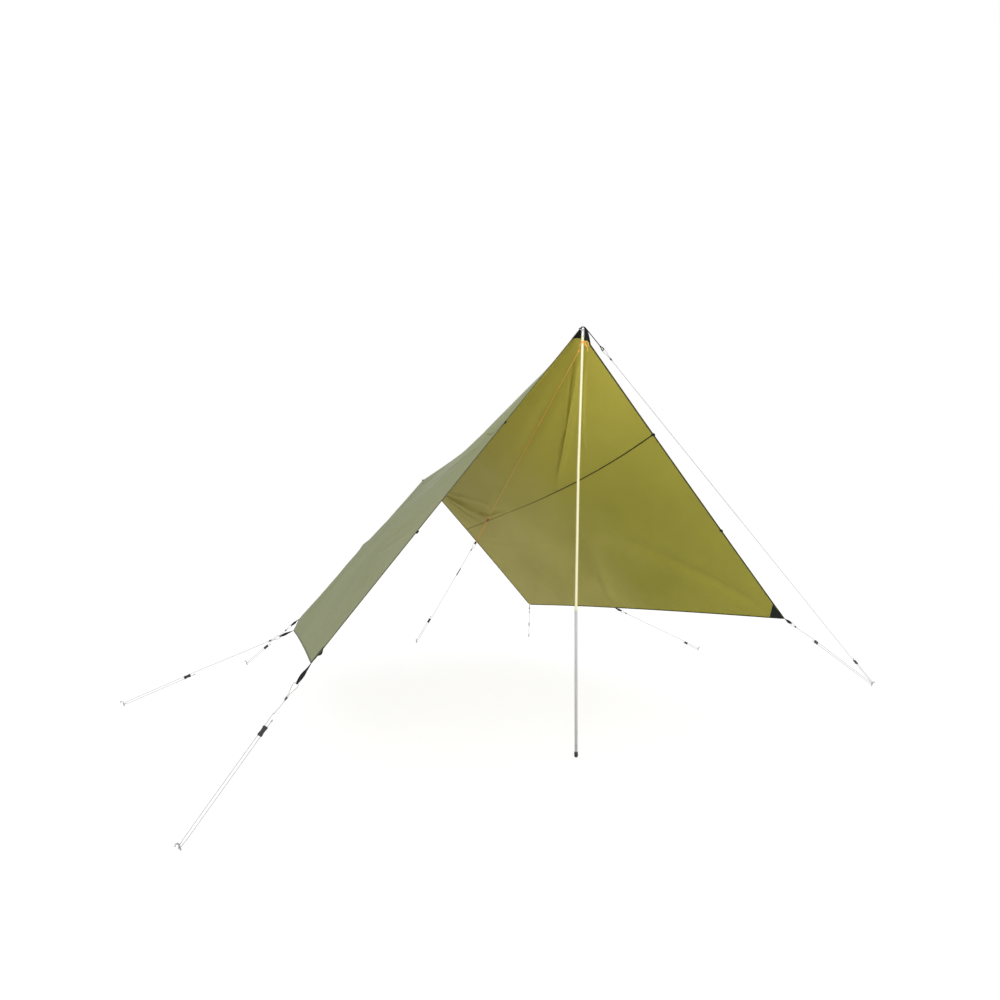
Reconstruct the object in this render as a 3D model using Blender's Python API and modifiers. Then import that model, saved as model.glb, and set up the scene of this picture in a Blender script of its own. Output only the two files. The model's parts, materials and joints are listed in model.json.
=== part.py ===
"""Camping tarp pitched on one pole.

The sheet hangs from a peak in the middle of its front edge. A ridge runs back from the peak, and both
halves fall from it to bound side edges. Webbing loops at the edges carry guylines, each with a slider,
that run to stakes in the ground. Metres, +Z up, +Y to the rear. The origin is the foot of the pole.
"""
import math

import bmesh
import bpy
from mathutils import Matrix, Vector
from mathutils.bvhtree import BVHTree

# Main sizes of the pitch
HALF_WIDTH = 1.480        # from the middle to a front corner
LENGTH = 2.460            # from the pole to the rear end of the ridge
PEAK_HEIGHT = 2.380
RIDGE_END_HEIGHT = 1.600
FRONT_HEIGHT = 0.692      # front corners
SIDE_HEIGHT = 0.550       # side tabs
REAR_HEIGHT = 0.440       # rear corners
PEAK_BACK = 0.030         # from the pole back to the sheet's front edge

# Places of the sheet's corners and tabs, right half, mirrored for the left
PEAK = Vector((0.0, PEAK_BACK, PEAK_HEIGHT))
FRONT_CORNER = Vector((HALF_WIDTH, -LENGTH * 0.061, FRONT_HEIGHT))
SIDE_TAB = Vector((HALF_WIDTH * 0.872, LENGTH * 0.553, SIDE_HEIGHT))
REAR_CORNER = Vector((HALF_WIDTH * 0.723, LENGTH * 0.972, REAR_HEIGHT))
RIDGE_END = Vector((0.0, LENGTH, RIDGE_END_HEIGHT))

# Cloth
CLOTH = 0.0012            # thickness of the coated fabric
PATCH = 0.0008            # thickness of a reinforcement patch
SEAT = 0.0003             # gap between pieces that are sewn or rest on each other
MIDDLE_FRONT = 1.500      # width of the middle panel at the front edge
MIDDLE_REAR = 1.205       # and at the rear edge
REAR_TAB = 0.750          # the rear tabs stand this far from the ridge
FRONT_SAG = 0.006         # hollow of the front edge
SIDE_SAG = 0.006          # hollow of each bay of a side edge
REAR_SAG = 0.015          # hollow of the rear edge
RIDGE_SAG = 0.100         # sag of the ridge in its middle
SAG_FORWARD = 0.4         # how much deeper it hangs towards the peak
FULLNESS = 0.060          # outward swell of each half
PEAK_REACH = 0.085        # legs of the peak patch along the front edge
CORNER_REACH = 0.140      # leg of a corner patch along the front edge
PATCH_BACK = 0.105        # legs of the patches along the side edges and the ridge
FRONT_CELLS = 11          # cells of a panel from the front patches to the side tabs
REAR_CELLS = 9            # cells of a panel behind the side tabs
MIDDLE_CELLS = 6          # cells of half the middle panel
OUTER_CELLS = 9           # cells of an outer panel

# Edge binding: tape folded over the edge
TAPE = 0.0008
TAPE_LEG = 0.009
TAPE_CLEAR = CLOTH / 2 + SEAT + PATCH + SEAT
CORNER_CUT = 0.016

# Webbing loops
WEB = 0.0016
EYE_RADIUS = 0.0042
GUY_LOOP = 0.100          # loop of a corner or side guyline
GUY_OPENING = 0.072       # length of its opening
NECK_WIDTH = 0.008        # its strap is folded narrow at the root
BELLY_WIDTH = 0.018       # opens out
TIP_WIDTH = 0.012         # and narrows again round the eye
PEAK_LOOP = 0.175         # strap of the peak guyline, from the bend over the plate to its tip
PEAK_EYE = 0.0065         # radius of its eye
PEAK_OPENING = 0.028
STRAP_BEND = 0.0155       # from the spike to the bend
STRAP_END = 0.009         # from the spike to the strap's other end
TAB_LOOP = 0.028          # tab that carries a cord
TAB_OPENING = 0.014
FREE_TAB = 0.020          # tab with no cord
TAB_WIDTH = 0.015

# Cords
CORD_RADIUS = 0.0015
KNOT_SWELL = 2.3
KNOT_HALF = 0.006
TIE_LENGTH = 0.070        # from a loop's eye to the knot
TIE_HALF = TAB_WIDTH / 2 + CORD_RADIUS + 0.003
STRAND_HALF = 0.0068      # half the spacing of the doubled strands

# Sliders
SLIDER_LENGTH = 0.044
SLIDER_WIDTH = 0.024
SLIDER_WAIST = 0.0035
SLIDER_DEPTH = 0.009
BORE_CLEAR = 0.0004
TAIL = 0.026              # free tail above a slider, up to its stopper knot
LEAD_IN = 0.060           # straight stretch above a slider
PARALLEL_END = 0.050      # distance from the stake at which the strands start to close round it

# Stakes
STAKE_RADIUS = 0.0035
STAKE_DEPTH = 0.165
STAKE_NECK = 0.015        # height of the cord on the stake
STAKE_HOOK = 0.008
STAKE_TOP = 0.036
STAKE_LEAN = math.radians(20)

# Pole
TUBE_RADIUS = 0.008
TUBE_WALL = 0.0009
FERRULE_WALL = 0.0009
FERRULE_LENGTH = 0.110
POLE_SECTIONS = 3
FOOT_HEIGHT = 0.030
FOOT_RADIUS = 0.0105
PLUG_DEPTH = 0.028
POLE_BOW = 0.018
SPIKE_RADIUS = 0.0030
SPIKE_RISE = 0.020
SHOCK_RADIUS = 0.0015

# Peak plate and eyelet
PLATE = 0.0030
PLATE_WIDTH = 0.026
PLATE_FRONT = 0.013
EYELET_BORE = 0.0042
EYELET_BARREL = 0.0060
EYELET_FLANGE = 0.0105
EYELET_METAL = 0.0008

# Where the stakes enter the ground
STAKES = {
    "front_right": Vector((HALF_WIDTH * 2.000, LENGTH * 0.0935, 0.0)),
    "side_right": Vector((HALF_WIDTH * 1.757, LENGTH * 0.711, 0.0)),
    "rear_right": Vector((HALF_WIDTH * 0.939, LENGTH * 1.199, 0.0)),
    "rear_middle": Vector((HALF_WIDTH * 0.142, LENGTH * 1.272, 0.0)),
    "front_left": Vector((-HALF_WIDTH * 1.331, -LENGTH * 0.057, 0.0)),
    "side_left": Vector((-HALF_WIDTH * 1.527, LENGTH * 0.817, 0.0)),
    "rear_left": Vector((-HALF_WIDTH * 0.946, LENGTH * 1.159, 0.0)),
}

COLOURS = {
    "cloth": ((0.30, 0.30, 0.10), 0.62, 0.0),
    "trim": ((0.022, 0.023, 0.022), 0.70, 0.0),
    "cord": ((0.62, 0.62, 0.60), 0.80, 0.0),
    "inner_cord": ((0.62, 0.25, 0.06), 0.75, 0.0),
    "slider": ((0.02, 0.02, 0.022), 0.45, 0.0),
    "tube": ((0.66, 0.66, 0.64), 0.35, 0.9),
    "ferrule": ((0.45, 0.45, 0.45), 0.30, 1.0),
    "foot": ((0.015, 0.015, 0.015), 0.60, 0.0),
    "stake": ((0.50, 0.50, 0.50), 0.35, 1.0),
    "eyelet": ((0.55, 0.52, 0.45), 0.30, 1.0),
}

for old in list(bpy.data.objects):
    bpy.data.objects.remove(old, do_unlink=True)

tarp = bpy.data.collections.new("camping_tarp")
cutters = bpy.data.collections.new("cutters")
bpy.context.scene.collection.children.link(tarp)
bpy.context.scene.collection.children.link(cutters)


def finish(name):
    """Material of the part's own colour, made once for each name."""
    found = bpy.data.materials.get(name)
    if found:
        return found
    colour, roughness, metallic = COLOURS[name]
    made = bpy.data.materials.new(name)
    made.use_nodes = True
    shader = made.node_tree.nodes["Principled BSDF"]
    shader.inputs["Base Color"].default_value = (*colour, 1.0)
    shader.inputs["Roughness"].default_value = roughness
    shader.inputs["Metallic"].default_value = metallic
    return made


def place(name, data, material, matrix=None, collection=tarp):
    """New object of a mesh or curve, with its own material."""
    made = bpy.data.objects.new(name, data)
    collection.objects.link(made)
    if material and not data.materials:
        data.materials.append(finish(material))
    if matrix is not None:
        made.matrix_world = matrix
    return made


def to_mesh(source, name):
    """Plain mesh of an object with its modifiers applied and its loose caps welded."""
    bpy.context.view_layer.update()
    shape = source.evaluated_get(bpy.context.evaluated_depsgraph_get())
    data = bpy.data.meshes.new_from_object(shape)
    data.name = name
    built = bmesh.new()
    built.from_mesh(data)
    bmesh.ops.remove_doubles(built, verts=built.verts, dist=0.00001)
    bmesh.ops.recalc_face_normals(built, faces=built.faces)
    built.to_mesh(data)
    built.free()
    bpy.data.objects.remove(source, do_unlink=True)
    return data


# The sheet's surface: u from the ridge to the side edge, v from the front to the rear

HALF_FRONT = (FRONT_CORNER - PEAK).length
HALF_REAR = (REAR_CORNER - RIDGE_END).length
RIDGE_LENGTH = (RIDGE_END - PEAK).length
FRONT_BAY = (SIDE_TAB - FRONT_CORNER).length
REAR_BAY = (REAR_CORNER - SIDE_TAB).length
SIDE_LENGTH = FRONT_BAY + REAR_BAY
SIDE_TAB_AT = FRONT_BAY / SIDE_LENGTH
SEAM_FRONT = MIDDLE_FRONT / 2 / HALF_FRONT
SEAM_REAR = MIDDLE_REAR / 2 / HALF_REAR
REAR_TAB_AT = REAR_TAB / HALF_REAR
OUTWARD = (FRONT_CORNER - PEAK).cross(RIDGE_END - PEAK).normalized()
OUTWARD = OUTWARD if OUTWARD.z > 0 else -OUTWARD

# Main folds: start and end in u and v, height and half width in metres
FOLDS = [
    (0.00, 0.00, 0.36, 0.45, -0.018, 0.030),
    (0.00, 0.00, 0.20, 0.62, 0.012, 0.050),
    (0.06, 1.00, 0.40, 0.66, -0.014, 0.030),
    (0.48, 1.00, 0.20, 0.66, -0.012, 0.045),
    (0.48, 1.00, 0.62, 0.60, 0.010, 0.050),
    (1.00, 0.59, 0.66, 0.50, -0.012, 0.050),
    (1.00, 0.00, 0.62, 0.34, 0.010, 0.060),
    (1.00, 1.00, 0.70, 0.72, -0.010, 0.045),
]


def arch(t):
    """Parabola with the value 1 in the middle and 0 at both ends."""
    return 4.0 * t * (1.0 - t)


def side_edge(v):
    """Side edge, two hollow bays that meet at the side tab."""
    if v < SIDE_TAB_AT:
        t = v / SIDE_TAB_AT
        point = FRONT_CORNER.lerp(SIDE_TAB, t)
    else:
        t = (v - SIDE_TAB_AT) / (1.0 - SIDE_TAB_AT)
        point = SIDE_TAB.lerp(REAR_CORNER, t)
    return point + Vector((-0.7, 0.0, 0.7)) * SIDE_SAG * arch(t)


def fold_height(u, v):
    """Height of the folds at a point: each is a soft ridge that fades towards its far end."""
    height = 0.0
    for u0, v0, u1, v1, rise, width in FOLDS:
        run = Vector(((u1 - u0) * HALF_FRONT, (v1 - v0) * RIDGE_LENGTH))
        to_point = Vector(((u - u0) * HALF_FRONT, (v - v0) * RIDGE_LENGTH))
        along = to_point.dot(run) / run.length_squared
        if 0.0 < along < 1.0:
            across = (to_point - run * along).length
            height += rise * math.sin(math.pi * along ** 0.7) * math.exp(-(across / width) ** 2)
    return height


def half_sheet(u, v):
    """Middle of the cloth on the right half."""
    front = PEAK.lerp(FRONT_CORNER, u) + Vector((0, FRONT_SAG * arch(u), 0))
    rear = RIDGE_END.lerp(REAR_CORNER, u) - Vector((0, REAR_SAG * arch(u), 0))
    skew = 1.0 + SAG_FORWARD * (1.0 - 2.0 * v)
    ridge = PEAK.lerp(RIDGE_END, v) - Vector((0, 0, RIDGE_SAG * arch(v) * skew))
    corners = PEAK.lerp(FRONT_CORNER, u).lerp(RIDGE_END.lerp(REAR_CORNER, u), v)
    ruled = front.lerp(rear, v) + ridge.lerp(side_edge(v), u) - corners
    swell = FULLNESS * math.sin(math.pi * u) * math.sin(math.pi * v)
    creases = fold_height(u, v) * min(1.0, arch(u) * 4) * min(1.0, arch(v) * 4)
    return ruled + OUTWARD * (swell + creases)


def sheet(s, v):
    """Middle of the cloth, s from -1 at the left side edge to 1 at the right one."""
    point = half_sheet(abs(s), v)
    if s < 0:
        point.x = -point.x
    return point


def sheet_normal(s, v):
    """Upward normal of the cloth. On the ridge it is the mitre of both halves."""
    step = 0.002
    s0 = max(-1.0, min(1.0, s - step))
    s1 = max(-1.0, min(1.0, s + step))
    v0 = max(0.0, v - step)
    v1 = min(1.0, v + step)
    if abs(s) < step:
        right = (sheet(step, v) - sheet(0, v)).cross(sheet(0, v1) - sheet(0, v0)).normalized()
        right = right if right.z > 0 else -right
        return Vector((0, right.y, right.z)) / (right.y ** 2 + right.z ** 2)
    normal = (sheet(s1, v) - sheet(s0, v)).cross(sheet(s, v1) - sheet(s, v0)).normalized()
    return normal if normal.z > 0 else -normal


def seam_at(v):
    return SEAM_FRONT + (SEAM_REAR - SEAM_FRONT) * v


def spread(start, end, cells):
    return [start + (end - start) * i / cells for i in range(cells + 1)]


PEAK_U = PEAK_REACH / HALF_FRONT
CORNER_U = CORNER_REACH / HALF_FRONT
PATCH_V = PATCH_BACK / SIDE_LENGTH
ROWS = [0.0, PATCH_V] + spread(PATCH_V, SIDE_TAB_AT, FRONT_CELLS)[1:]
ROWS += spread(SIDE_TAB_AT, 1.0, REAR_CELLS)[1:]
HALF_SEAM = SEAT / HALF_FRONT


def middle_columns(v):
    """Places across the middle panel, with a line at each leg of the peak patch."""
    seam = seam_at(v) - HALF_SEAM
    half = [0.0, PEAK_U] + spread(PEAK_U, seam, MIDDLE_CELLS)[1:]
    return [-u for u in reversed(half[1:])] + half


def outer_columns(v):
    """Places across an outer panel, from the seam to the side edge."""
    seam = seam_at(v) + HALF_SEAM
    return spread(seam, 1.0 - CORNER_U, OUTER_CELLS) + [1.0]


def panel(name, columns, side=1):
    """One fabric width: a triangulated surface on the sheet, thickened by Solidify."""
    built = bmesh.new()
    grid = [[built.verts.new(sheet(side * s, v)) for s in columns(v)] for v in ROWS]
    for j in range(len(ROWS) - 1):
        for i in range(len(grid[0]) - 1):
            low, right = grid[j][i], grid[j][i + 1]
            up, far = grid[j + 1][i], grid[j + 1][i + 1]
            middle = (columns(0.0)[i] + columns(0.0)[i + 1]) / 2
            if middle < 0 or (columns is outer_columns and j == 0):
                built.faces.new((low, right, far))
                built.faces.new((low, far, up))
            else:
                built.faces.new((low, right, up))
                built.faces.new((right, far, up))
    bmesh.ops.recalc_face_normals(built, faces=built.faces)
    data = bpy.data.meshes.new(name)
    built.to_mesh(data)
    built.free()
    made = place(name, data, "cloth")
    wall = made.modifiers.new("cloth", "SOLIDIFY")
    wall.thickness = CLOTH
    wall.offset = 0.0
    wall.use_even_offset = True
    return made


def patch(name, triangles):
    """Reinforcement on the inner face of the sheet, cut on the panel's own grid lines."""
    drop = CLOTH / 2 + SEAT + PATCH / 2
    built = bmesh.new()
    corners = {}
    for triangle in triangles:
        for s, v in triangle:
            if (s, v) not in corners:
                corners[(s, v)] = built.verts.new(sheet(s, v) - sheet_normal(s, v) * drop)
        built.faces.new([corners[key] for key in triangle])
    bmesh.ops.recalc_face_normals(built, faces=built.faces)
    data = bpy.data.meshes.new(name)
    built.to_mesh(data)
    built.free()
    made = place(name, data, "trim")
    wall = made.modifiers.new("patch", "SOLIDIFY")
    wall.thickness = PATCH
    wall.offset = 0.0
    wall.use_even_offset = True
    return made


def binding(name, spots):
    """Tape folded over an edge: a U section carried along the edge of the cloth.

    spots holds the edge's places as (s, v) pairs. The section's slot clears the cloth and a patch.
    """
    inner = TAPE_CLEAR
    outer = TAPE_CLEAR + TAPE
    section = [(-TAPE_LEG, inner), (-TAPE_LEG, outer), (SEAT + TAPE, outer), (SEAT + TAPE, -outer),
               (-TAPE_LEG, -outer), (-TAPE_LEG, -inner), (SEAT, -inner), (SEAT, inner)]
    points = [sheet(s, v) for s, v in spots]
    first = (points[1] - points[0]).normalized()
    last = (points[-1] - points[-2]).normalized()
    points[0] = points[0] + first * CORNER_CUT
    points[-1] = points[-1] - last * CORNER_CUT
    built = bmesh.new()
    rings = []
    for i, ((s, v), point) in enumerate(zip(spots, points)):
        normal = sheet_normal(s, v)
        tangent = (points[min(i + 1, len(points) - 1)] - points[max(i - 1, 0)]).normalized()
        away = tangent.cross(normal.normalized()).normalized()
        inside = sheet(s * 0.97, 0.03 + v * 0.94) - sheet(s, v)
        if away.dot(inside) > 0:
            away = -away
        rings.append([built.verts.new(point + away * x + normal * z) for x, z in section])
    count = len(section)
    for a, b in zip(rings, rings[1:]):
        for k in range(count):
            built.faces.new((a[k], a[(k + 1) % count], b[(k + 1) % count], b[k]))
    built.faces.new(rings[0])
    built.faces.new(rings[-1])
    bmesh.ops.recalc_face_normals(built, faces=built.faces)
    data = bpy.data.meshes.new(name)
    built.to_mesh(data)
    built.free()
    return place(name, data, "trim")


# Panels, patches and bindings of the sheet

panel("canopy_middle", middle_columns)
panel("canopy_right", outer_columns, 1)
panel("canopy_left", outer_columns, -1)

patch("patch_peak", [((0.0, 0.0), (PEAK_U, 0.0), (0.0, PATCH_V)),
                     ((0.0, 0.0), (0.0, PATCH_V), (-PEAK_U, 0.0))])
for side, name in ((1, "patch_front_right"), (-1, "patch_front_left")):
    patch(name, [((side * (1.0 - CORNER_U), 0.0), (side * 1.0, 0.0), (side * 1.0, PATCH_V))])


def across_edge(v):
    """Places along the front or rear edge, the same as the panels' own edge points."""
    right = [s for s in middle_columns(v) if s >= 0][:-1] + [seam_at(v)] + outer_columns(v)[1:]
    return [(-s, v) for s in reversed(right[1:])] + [(s, v) for s in right]


binding("binding_front", across_edge(0.0))
binding("binding_rear", across_edge(1.0))
binding("binding_right", [(1.0, v) for v in ROWS])
binding("binding_left", [(-1.0, v) for v in ROWS])


# Webbing loops, built once along +X with the eye's axis on Y, and shared

def loop_mesh(name, length, opening, eye_radius, stations, start=()):
    """Strap folded to a loop: the two layers lie together at the root and part round the eye.

    stations are (place along the strap, width) pairs. start is the upper outline of a bent root, if any.
    """
    outer = eye_radius + WEB
    eye_at = length - outer
    steps = 10
    curve = bpy.data.curves.new(name, "CURVE")
    curve.dimensions = "2D"
    curve.fill_mode = "BOTH"
    curve.extrude = 0.5
    arc = [math.radians(100 - 200 * i / steps) for i in range(steps + 1)]
    root = length - outer - opening
    lip = Vector((eye_at + outer * math.cos(arc[0]), outer * math.sin(arc[0])))
    inner_lip = Vector((eye_at + eye_radius * math.cos(arc[0]), eye_radius * math.sin(arc[0])))
    upper = [Vector((0.0, WEB))] if not start else [point for point, _ in start]
    lower = [Vector((0.0, -WEB))] if not start else [point for _, point in start]
    between = []
    for x, _ in stations:
        if 0.0 < x < root:
            upper.append(Vector((x, WEB)))
            lower.append(Vector((x, -WEB)))
    upper.append(Vector((root, WEB)))
    lower.append(Vector((root, -WEB)))
    for x, _ in stations:
        if root < x < lip.x:
            t = (x - root) / (lip.x - root)
            between.append((Vector((root, WEB)).lerp(lip, t), Vector((root, 0.0)).lerp(inner_lip, t)))
    outline = upper + [point for point, _ in between]
    outline += [(eye_at + outer * math.cos(a), outer * math.sin(a)) for a in arc]
    outline += [(point.x, -point.y) for point, _ in reversed(between)] + lower[::-1]
    hole = [point for _, point in between]
    hole += [(eye_at + eye_radius * math.cos(a), eye_radius * math.sin(a)) for a in arc]
    hole += [(point.x, -point.y) for _, point in reversed(between)]
    hole.append((root, 0.0))
    for ring in (outline, hole):
        spline = curve.splines.new("POLY")
        spline.points.add(len(ring) - 1)
        for point, (x, y) in zip(spline.points, ring):
            point.co = (x, y, 0, 1)
        spline.use_cyclic_u = True
    data = to_mesh(place(name, curve, None), name)
    places = [x for x, _ in stations]
    widths = [width for _, width in stations]
    for vertex in data.vertices:
        after = next((i for i, x in enumerate(places) if x >= vertex.co.x), len(places) - 1)
        before = max(after - 1, 0)
        gap = places[after] - places[before]
        t = 1.0 if gap == 0 else min(1.0, (vertex.co.x - places[before]) / gap)
        vertex.co.z *= widths[before] + (widths[after] - widths[before]) * t
    data.transform(Matrix.Rotation(math.radians(90), 4, "X"))
    data.materials.clear()
    return data, eye_at + eye_radius


GUY_STATIONS = [(0.0, NECK_WIDTH), (GUY_LOOP * 0.22, NECK_WIDTH), (GUY_LOOP * 0.38, BELLY_WIDTH * 0.82),
                (GUY_LOOP * 0.55, BELLY_WIDTH), (GUY_LOOP * 0.72, BELLY_WIDTH * 0.94), (GUY_LOOP, TIP_WIDTH)]
guy_loop = loop_mesh("guy_loop", GUY_LOOP, GUY_OPENING, EYE_RADIUS, GUY_STATIONS)
tab_loop = loop_mesh("tab_loop", TAB_LOOP, TAB_OPENING, EYE_RADIUS, [(0.0, TAB_WIDTH), (TAB_LOOP, TAB_WIDTH)])
free_tab = loop_mesh("free_tab", FREE_TAB, TAB_OPENING / 2, EYE_RADIUS * 0.7,
                     [(0.0, TAB_WIDTH), (FREE_TAB, TAB_WIDTH)])


def line_frame(origin, along, square_to=Vector((0, 0, -1))):
    """Matrix with X along a line and Y square to it and to a second direction, level by default."""
    x = along.normalized()
    y = x.cross(square_to).normalized()
    z = x.cross(y)
    return Matrix(((x.x, y.x, z.x, origin.x), (x.y, y.y, z.y, origin.y),
                   (x.z, y.z, z.z, origin.z), (0, 0, 0, 1)))


def tree_of(names):
    """Search trees of finished pieces, for seating others against them."""
    bpy.context.view_layer.update()
    graph = bpy.context.evaluated_depsgraph_get()
    return [BVHTree.FromObject(bpy.data.objects[name], graph) for name in names]


SEWN = tree_of(["canopy_middle", "canopy_right", "canopy_left", "patch_peak", "patch_front_right",
                "patch_front_left", "binding_front", "binding_rear", "binding_right", "binding_left"])


def seated(corner, frame, width):
    """Moves a loop's root along its own line until it stands a seat's gap off the sewn pieces."""
    along = frame.col[0].xyz
    across = frame.col[1].xyz
    normal = frame.col[2].xyz
    samples = [across * width / 2 * a + normal * WEB * b for b in (-1, -0.5, 0, 0.5, 1)
               for a in (-1, -0.75, -0.5, -0.25, 0, 0.25, 0.5, 0.75, 1)]
    reach = 0.012
    while reach > -0.012:
        root = corner + along * reach
        gap = min(tree.find_nearest(root + sample)[3] for tree in SEWN for sample in samples)
        if gap < SEAT * 1.2:
            break
        reach -= max(0.00005, (gap - SEAT) * 0.4)
    return corner + along * (reach + 0.00005)


def stake_axis(name):
    """Direction away from the tarp on the ground, and the stake's own axis leaning that way."""
    foot = STAKES[name]
    away = Vector((foot.x, foot.y - RIDGE_END.y / 2, 0)).normalized()
    return away, (away * math.sin(STAKE_LEAN) + Vector((0, 0, math.cos(STAKE_LEAN))))


def stake_neck(name, lift=0.0):
    """Point on a stake's axis where a cord goes round it."""
    axis = stake_axis(name)[1]
    return STAKES[name] + axis * ((STAKE_NECK + lift) / axis.z)


# Guylines: a loop at the sheet, a cord down to the stake and back, and a slider on both strands

def tube(name, points, radii, material):
    """Cord: one unbroken tube through its points, swollen at the knots."""
    curve = bpy.data.curves.new(name, "CURVE")
    curve.dimensions = "3D"
    curve.bevel_depth = CORD_RADIUS
    curve.bevel_resolution = 2
    curve.use_fill_caps = True
    spline = curve.splines.new("POLY")
    spline.points.add(len(points) - 1)
    for point, place_at, radius in zip(spline.points, points, radii):
        point.co = (*place_at, 1)
        point.radius = radius
    return place(name, curve, material)


def knot(points, radii, centre, along):
    """Adds a knot's swelling to a cord."""
    for share, swell in ((-1, 1.0), (-0.5, KNOT_SWELL * 0.85), (0, KNOT_SWELL), (0.5, KNOT_SWELL * 0.85), (1, 1.0)):
        points.append(centre + along * KNOT_HALF * share)
        radii.append(swell)


def slider_mesh():
    """Moulded line runner: a waisted body with two bores along the line."""
    curve = bpy.data.curves.new("slider", "CURVE")
    curve.dimensions = "2D"
    curve.fill_mode = "BOTH"
    curve.extrude = SLIDER_DEPTH / 2
    half = SLIDER_LENGTH / 2
    steps = 8
    upper = []
    for i in range(steps + 1):
        x = -half + SLIDER_LENGTH * i / steps
        waist = SLIDER_WAIST * math.cos(math.pi * x / SLIDER_LENGTH)
        end = 0.003 if i in (0, steps) else 0.0
        upper.append((x, SLIDER_WIDTH / 2 - waist - end))
    outline = upper + [(x, -y) for x, y in reversed(upper)]
    spline = curve.splines.new("POLY")
    spline.points.add(len(outline) - 1)
    for point, (x, y) in zip(spline.points, outline):
        point.co = (x, y, 0, 1)
    spline.use_cyclic_u = True
    body = place("slider_blank", to_mesh(place("slider_source", curve, None), "slider_blank"), None)
    for sign in (1, -1):
        bpy.ops.mesh.primitive_cylinder_add(vertices=12, radius=CORD_RADIUS + BORE_CLEAR,
                                            depth=SLIDER_LENGTH * 1.5)
        cutter = bpy.context.active_object
        cutter.data.transform(Matrix.Rotation(math.radians(90), 4, "Y"))
        cutter.data.transform(Matrix.Translation((0, sign * STRAND_HALF, 0)))
        cutter.hide_render = True
        cutter.display_type = "WIRE"
        for owner in list(cutter.users_collection):
            owner.objects.unlink(cutter)
        cutters.objects.link(cutter)
        cut = body.modifiers.new("bore", "BOOLEAN")
        cut.operation = "DIFFERENCE"
        cut.object = cutter
    data = to_mesh(body, "slider")
    data.materials.clear()
    return data


runner_mesh = slider_mesh()


def bight(points, radii, centre, along, strand, reach):
    """Half turn of cord round a stake, its crown at the reach beyond the stake's axis."""
    turns = 8
    for i in range(turns + 1):
        angle = math.pi * i / turns
        points.append(centre + strand * math.cos(angle) + along * reach * math.sin(angle))
        radii.append(1.0)


def guyline(name, root, loop, stake, slider_share, lift=0.0, square_to=None, width=None):
    """One guyline from a loop's root at the sheet to a stake.

    Its loop and slider stand upright, unless square_to turns them. width is that of a root to be seated.
    """
    loop_data, eye_reach = loop
    neck = stake_neck(stake, lift)
    along = (neck - root).normalized()
    square_to = square_to or Vector((-along.y, along.x, 0))
    frame = line_frame(root, along, square_to)
    if width:
        root = seated(root, frame, width)
        frame = line_frame(root, along, square_to)
    across = frame.col[1].xyz
    place("guy_loop_" + name, loop_data, "trim", frame)
    eye = root + along * (eye_reach - CORD_RADIUS - SEAT)
    tie = eye + along * TIE_LENGTH
    run = (neck - tie).length
    centre = tie + along * run * slider_share
    points = [tie - along * KNOT_HALF * 1.2 - across * 0.0052]
    for side in (-1, 1):
        bend = [(TIE_HALF, 0.008), (TIE_HALF * 0.92, 0.0025), (TIE_HALF * 0.66, 0.0)]
        bend = bend if side < 0 else bend[::-1]
        points += [eye + across * side * x + along * y for x, y in bend]
    radii = [1.0] * len(points)
    knot(points, radii, tie, along)
    strand = across * STRAND_HALF
    low = neck - along * PARALLEL_END
    points += [centre - along * (SLIDER_LENGTH / 2 + LEAD_IN) + strand, low + strand]
    radii += [1.0, 1.0]
    wrap = along.cross(stake_axis(stake)[1])
    wrap = wrap if wrap.dot(across) > 0 else -wrap
    reach = STAKE_RADIUS / wrap.length + CORD_RADIUS + SEAT * 1.5
    bight(points, radii, neck, along, wrap.normalized() * STRAND_HALF, reach)
    points.append(low - strand)
    radii.append(1.0)
    stopper = centre - along * (SLIDER_LENGTH / 2 + TAIL) - strand
    knot(points, radii, stopper, -along)
    tube("guyline_" + name, points, radii, "cord")
    place("slider_" + name, runner_mesh, "slider", line_frame(centre, along, square_to))


# The rear middle loop also carries the inner cord, so its strap stands square to both lines
INNER_TIE_HEIGHT = PEAK.z - 0.090
inner_direction = (sheet(REAR_TAB_AT, 1.0) - Vector((0, 0, INNER_TIE_HEIGHT))).normalized()

GUYLINES = [
    ("front_right", 1.0, 0.0, guy_loop, 0.235),
    ("side_right", 1.0, SIDE_TAB_AT, guy_loop, 0.810),
    ("rear_right", 1.0, 1.0, guy_loop, 0.500),
    ("rear_middle", REAR_TAB_AT, 1.0, tab_loop, 0.760),
    ("front_left", -1.0, 0.0, guy_loop, 0.235),
    ("side_left", -1.0, SIDE_TAB_AT, guy_loop, 0.560),
    ("rear_left", -1.0, 1.0, guy_loop, 0.500),
]
for name, s, v, loop, share in GUYLINES:
    if name == "rear_middle":
        guyline(name, sheet(s, v), loop, name, share, square_to=inner_direction, width=TAB_WIDTH)
    else:
        guyline(name, sheet(s, v), loop, name, share, width=NECK_WIDTH)


# Peak guyline: its strap's flat end lies on the eyelet with a hole over the spike, and bends down

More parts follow.
